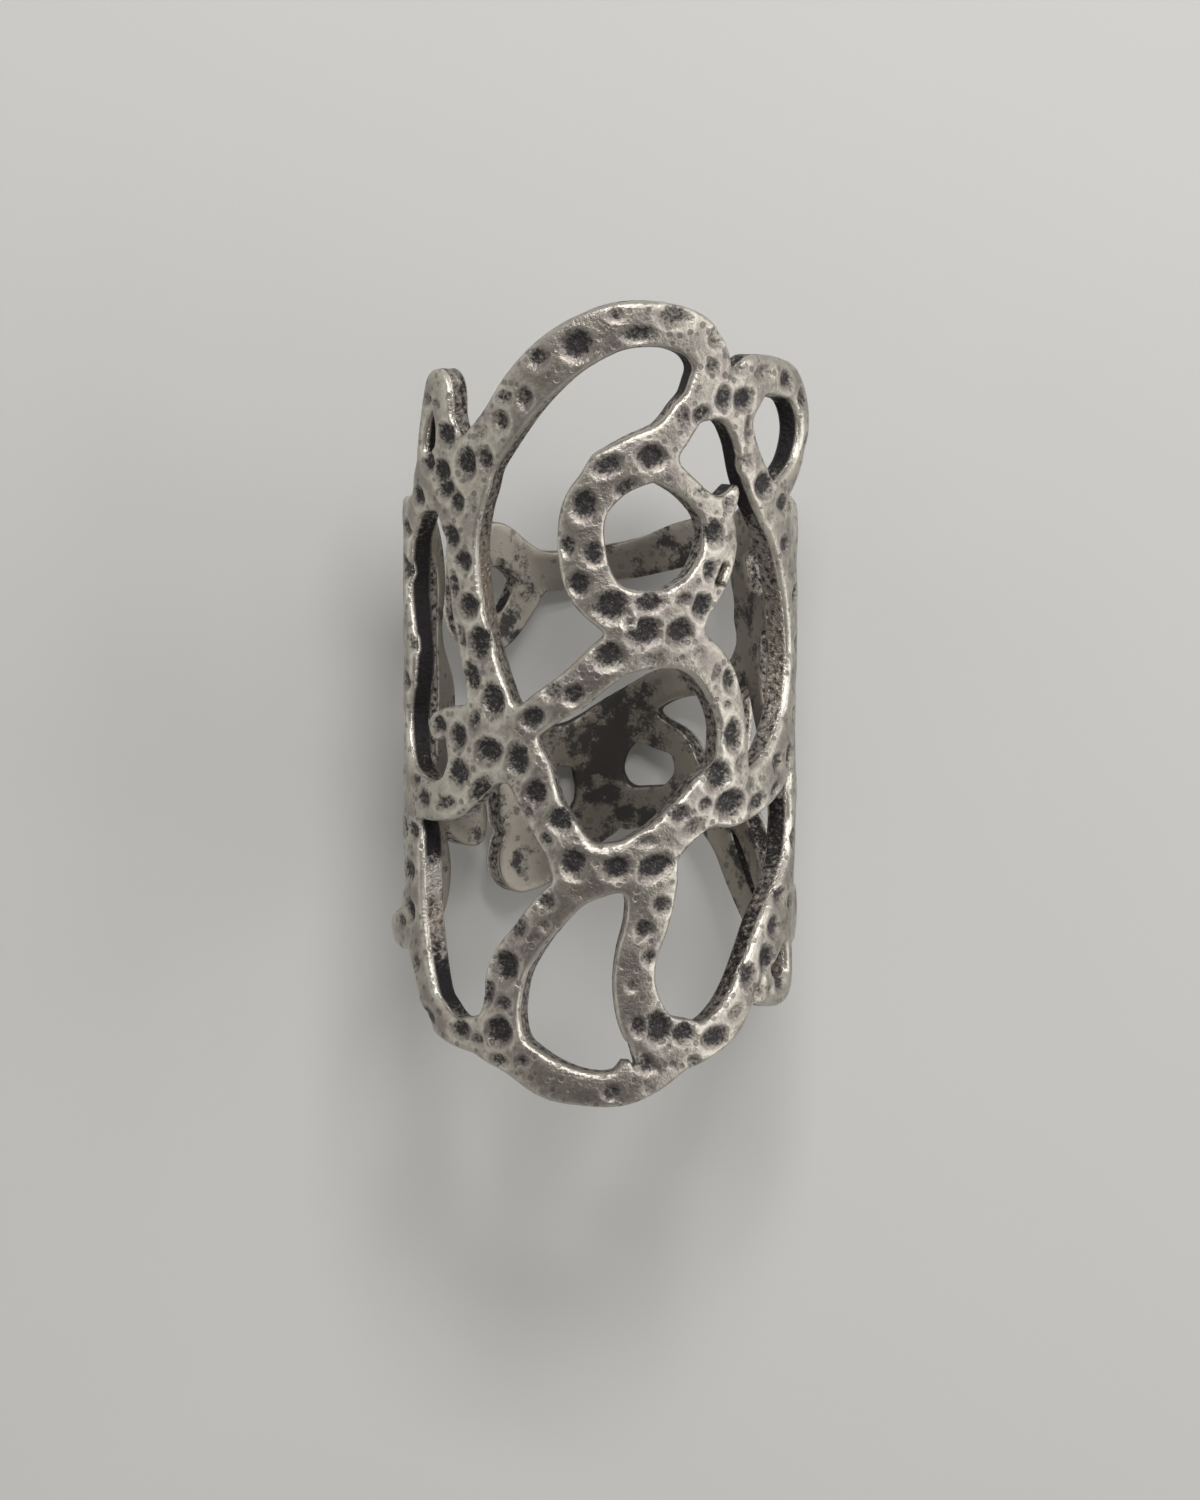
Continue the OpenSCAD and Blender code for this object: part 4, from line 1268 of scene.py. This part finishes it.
class WRAPRING_OT_band(bpy.types.Operator):
    """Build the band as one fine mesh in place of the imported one"""

    bl_idname = "wrapring.band"
    bl_label = "Band"
    bl_options = {"REGISTER", "UNDO"}

    def execute(self, context):
        scene = context.scene
        grain_group()
        darkening_group()
        mesh = RolledBand(scene.ring_shape, scene.ring_surface).mesh("wrap_ring")
        for make_material in (outer_material, cut_material, inner_material):
            mesh.materials.append(make_material(scene.ring_finish))
        ring = bpy.data.objects.new("wrap_ring", mesh)
        scene.collection.objects.link(ring)
        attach(ring, "root")
        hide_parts("band")
        return {"FINISHED"}


class WRAPRING_OT_stage(bpy.types.Operator):
    """Set up the pale floor, the soft lights and the camera"""

    bl_idname = "wrapring.stage"
    bl_label = "Stage"
    bl_options = {"REGISTER", "UNDO"}

    def execute(self, context):
        scene = context.scene
        settings = scene.ring_stage
        middle = Vector((0, CENTRING * MM, AXIS_HEIGHT * MM))
        self.add_floor(scene, settings.floor)
        self.add_sky(scene, settings)
        for name, (place, size) in LIGHTS.items():
            self.add_light(scene, name, Vector(place), middle, size, getattr(settings, name))
        self.add_camera(scene, settings, middle)
        scene.view_settings.view_transform = "Standard"
        return {"FINISHED"}

    def add_floor(self, scene, colour):
        """Flat floor under the ring."""
        half = FLOOR_WIDTH / 2
        corners = [(-half, -half, 0), (half, -half, 0), (half, half, 0), (-half, half, 0)]
        mesh = bpy.data.meshes.new("floor")
        mesh.from_pydata(corners, [], [(0, 1, 2, 3)])
        mesh.materials.append(floor_material(colour))
        floor = bpy.data.objects.new("floor", mesh)
        scene.collection.objects.link(floor)

    def add_sky(self, scene, settings):
        """Sky that is dark overhead, so that the flat front stays grey, and pale round the horizon."""
        world = bpy.data.worlds.new("studio")
        world.use_nodes = True
        tree = world.node_tree
        background = tree.nodes["Background"]
        background.inputs["Color"].default_value = SKY_COLOUR
        direction = add_node(tree, "TexCoord").outputs["Generated"]
        height = add_node(tree, "SeparateXYZ", {0: direction}).outputs["Z"]
        share = eased_mask(tree, height, FADE_START, FADE_END)
        strength = mixed_value(tree, share, settings.horizon, settings.zenith)
        tree.links.new(strength, background.inputs["Strength"])
        scene.world = world

    def add_light(self, scene, name, place, aim, size, power):
        """Rectangular light at a place, turned to what it is aimed at and hidden from the camera."""
        data = bpy.data.lights.new(name, "AREA")
        data.shape = "RECTANGLE"
        data.size, data.size_y = size
        data.energy = power
        light = bpy.data.objects.new(name, data)
        light.location = place
        light.rotation_euler = (aim - place).to_track_quat("-Z", "Y").to_euler()
        light.visible_camera = False
        scene.collection.objects.link(light)

    def add_camera(self, scene, settings, middle):
        """Camera over the front, towards the ring's top end, with that end up in the picture."""
        data = bpy.data.cameras.new("camera")
        data.sensor_fit = "VERTICAL"
        data.sensor_height = SENSOR
        data.lens = settings.lens
        data.clip_start = NEAREST
        camera = bpy.data.objects.new("camera", data)
        direction = Vector((0, math.sin(settings.rise), math.cos(settings.rise)))
        camera.location = middle + direction * settings.distance
        # The ring's middle lies a little above the middle of the picture
        forward = Matrix.Rotation(-math.radians(CAMERA_DIP), 3, "X") @ -direction
        right = forward.cross(Vector((0, 1, 0))).normalized()
        above = right.cross(forward)
        turn = Matrix((right, above, -forward)).transposed()
        camera.rotation_euler = turn.to_euler()
        scene.collection.objects.link(camera)
        scene.camera = camera


class WRAPRING_PT_parts(bpy.types.Panel):
    """The ring's parts, each with the sizes and colours that it takes"""

    bl_label = "Wrap Ring"
    bl_idname = "WRAPRING_PT_parts"
    bl_space_type = "VIEW_3D"
    bl_region_type = "UI"
    bl_category = "Wrap Ring"

    def draw(self, context):
        scene = context.scene
        for operator, groups in PARTS:
            self.layout.operator(operator)
            for group in groups:
                settings = getattr(scene, group)
                for name in settings.bl_rna.properties.keys():
                    if name not in {"rna_type", "name"}:
                        self.layout.prop(settings, name)


# Operators in the order in which they run, with the settings that each one reads
PARTS = (
    ("wrapring.band", ("ring_shape", "ring_surface", "ring_finish")),
    ("wrapring.stage", ("ring_stage",)),
)
SETTINGS = {
    "ring_shape": RingShape,
    "ring_surface": RingSurface,
    "ring_finish": RingFinish,
    "ring_stage": StageSettings,
}
CLASSES = (*SETTINGS.values(), WRAPRING_OT_band, WRAPRING_OT_stage, WRAPRING_PT_parts)


def register():
    for made_class in CLASSES:
        bpy.utils.register_class(made_class)
    for name, group in SETTINGS.items():
        setattr(bpy.types.Scene, name, bpy.props.PointerProperty(type=group))


def unregister():
    for name in SETTINGS:
        delattr(bpy.types.Scene, name)
    for made_class in reversed(CLASSES):
        bpy.utils.unregister_class(made_class)


def main():
    """Builds the ring and its stage."""
    register()
    bpy.ops.wrapring.band()
    bpy.ops.wrapring.stage()


if __name__ == "__main__":
    main()
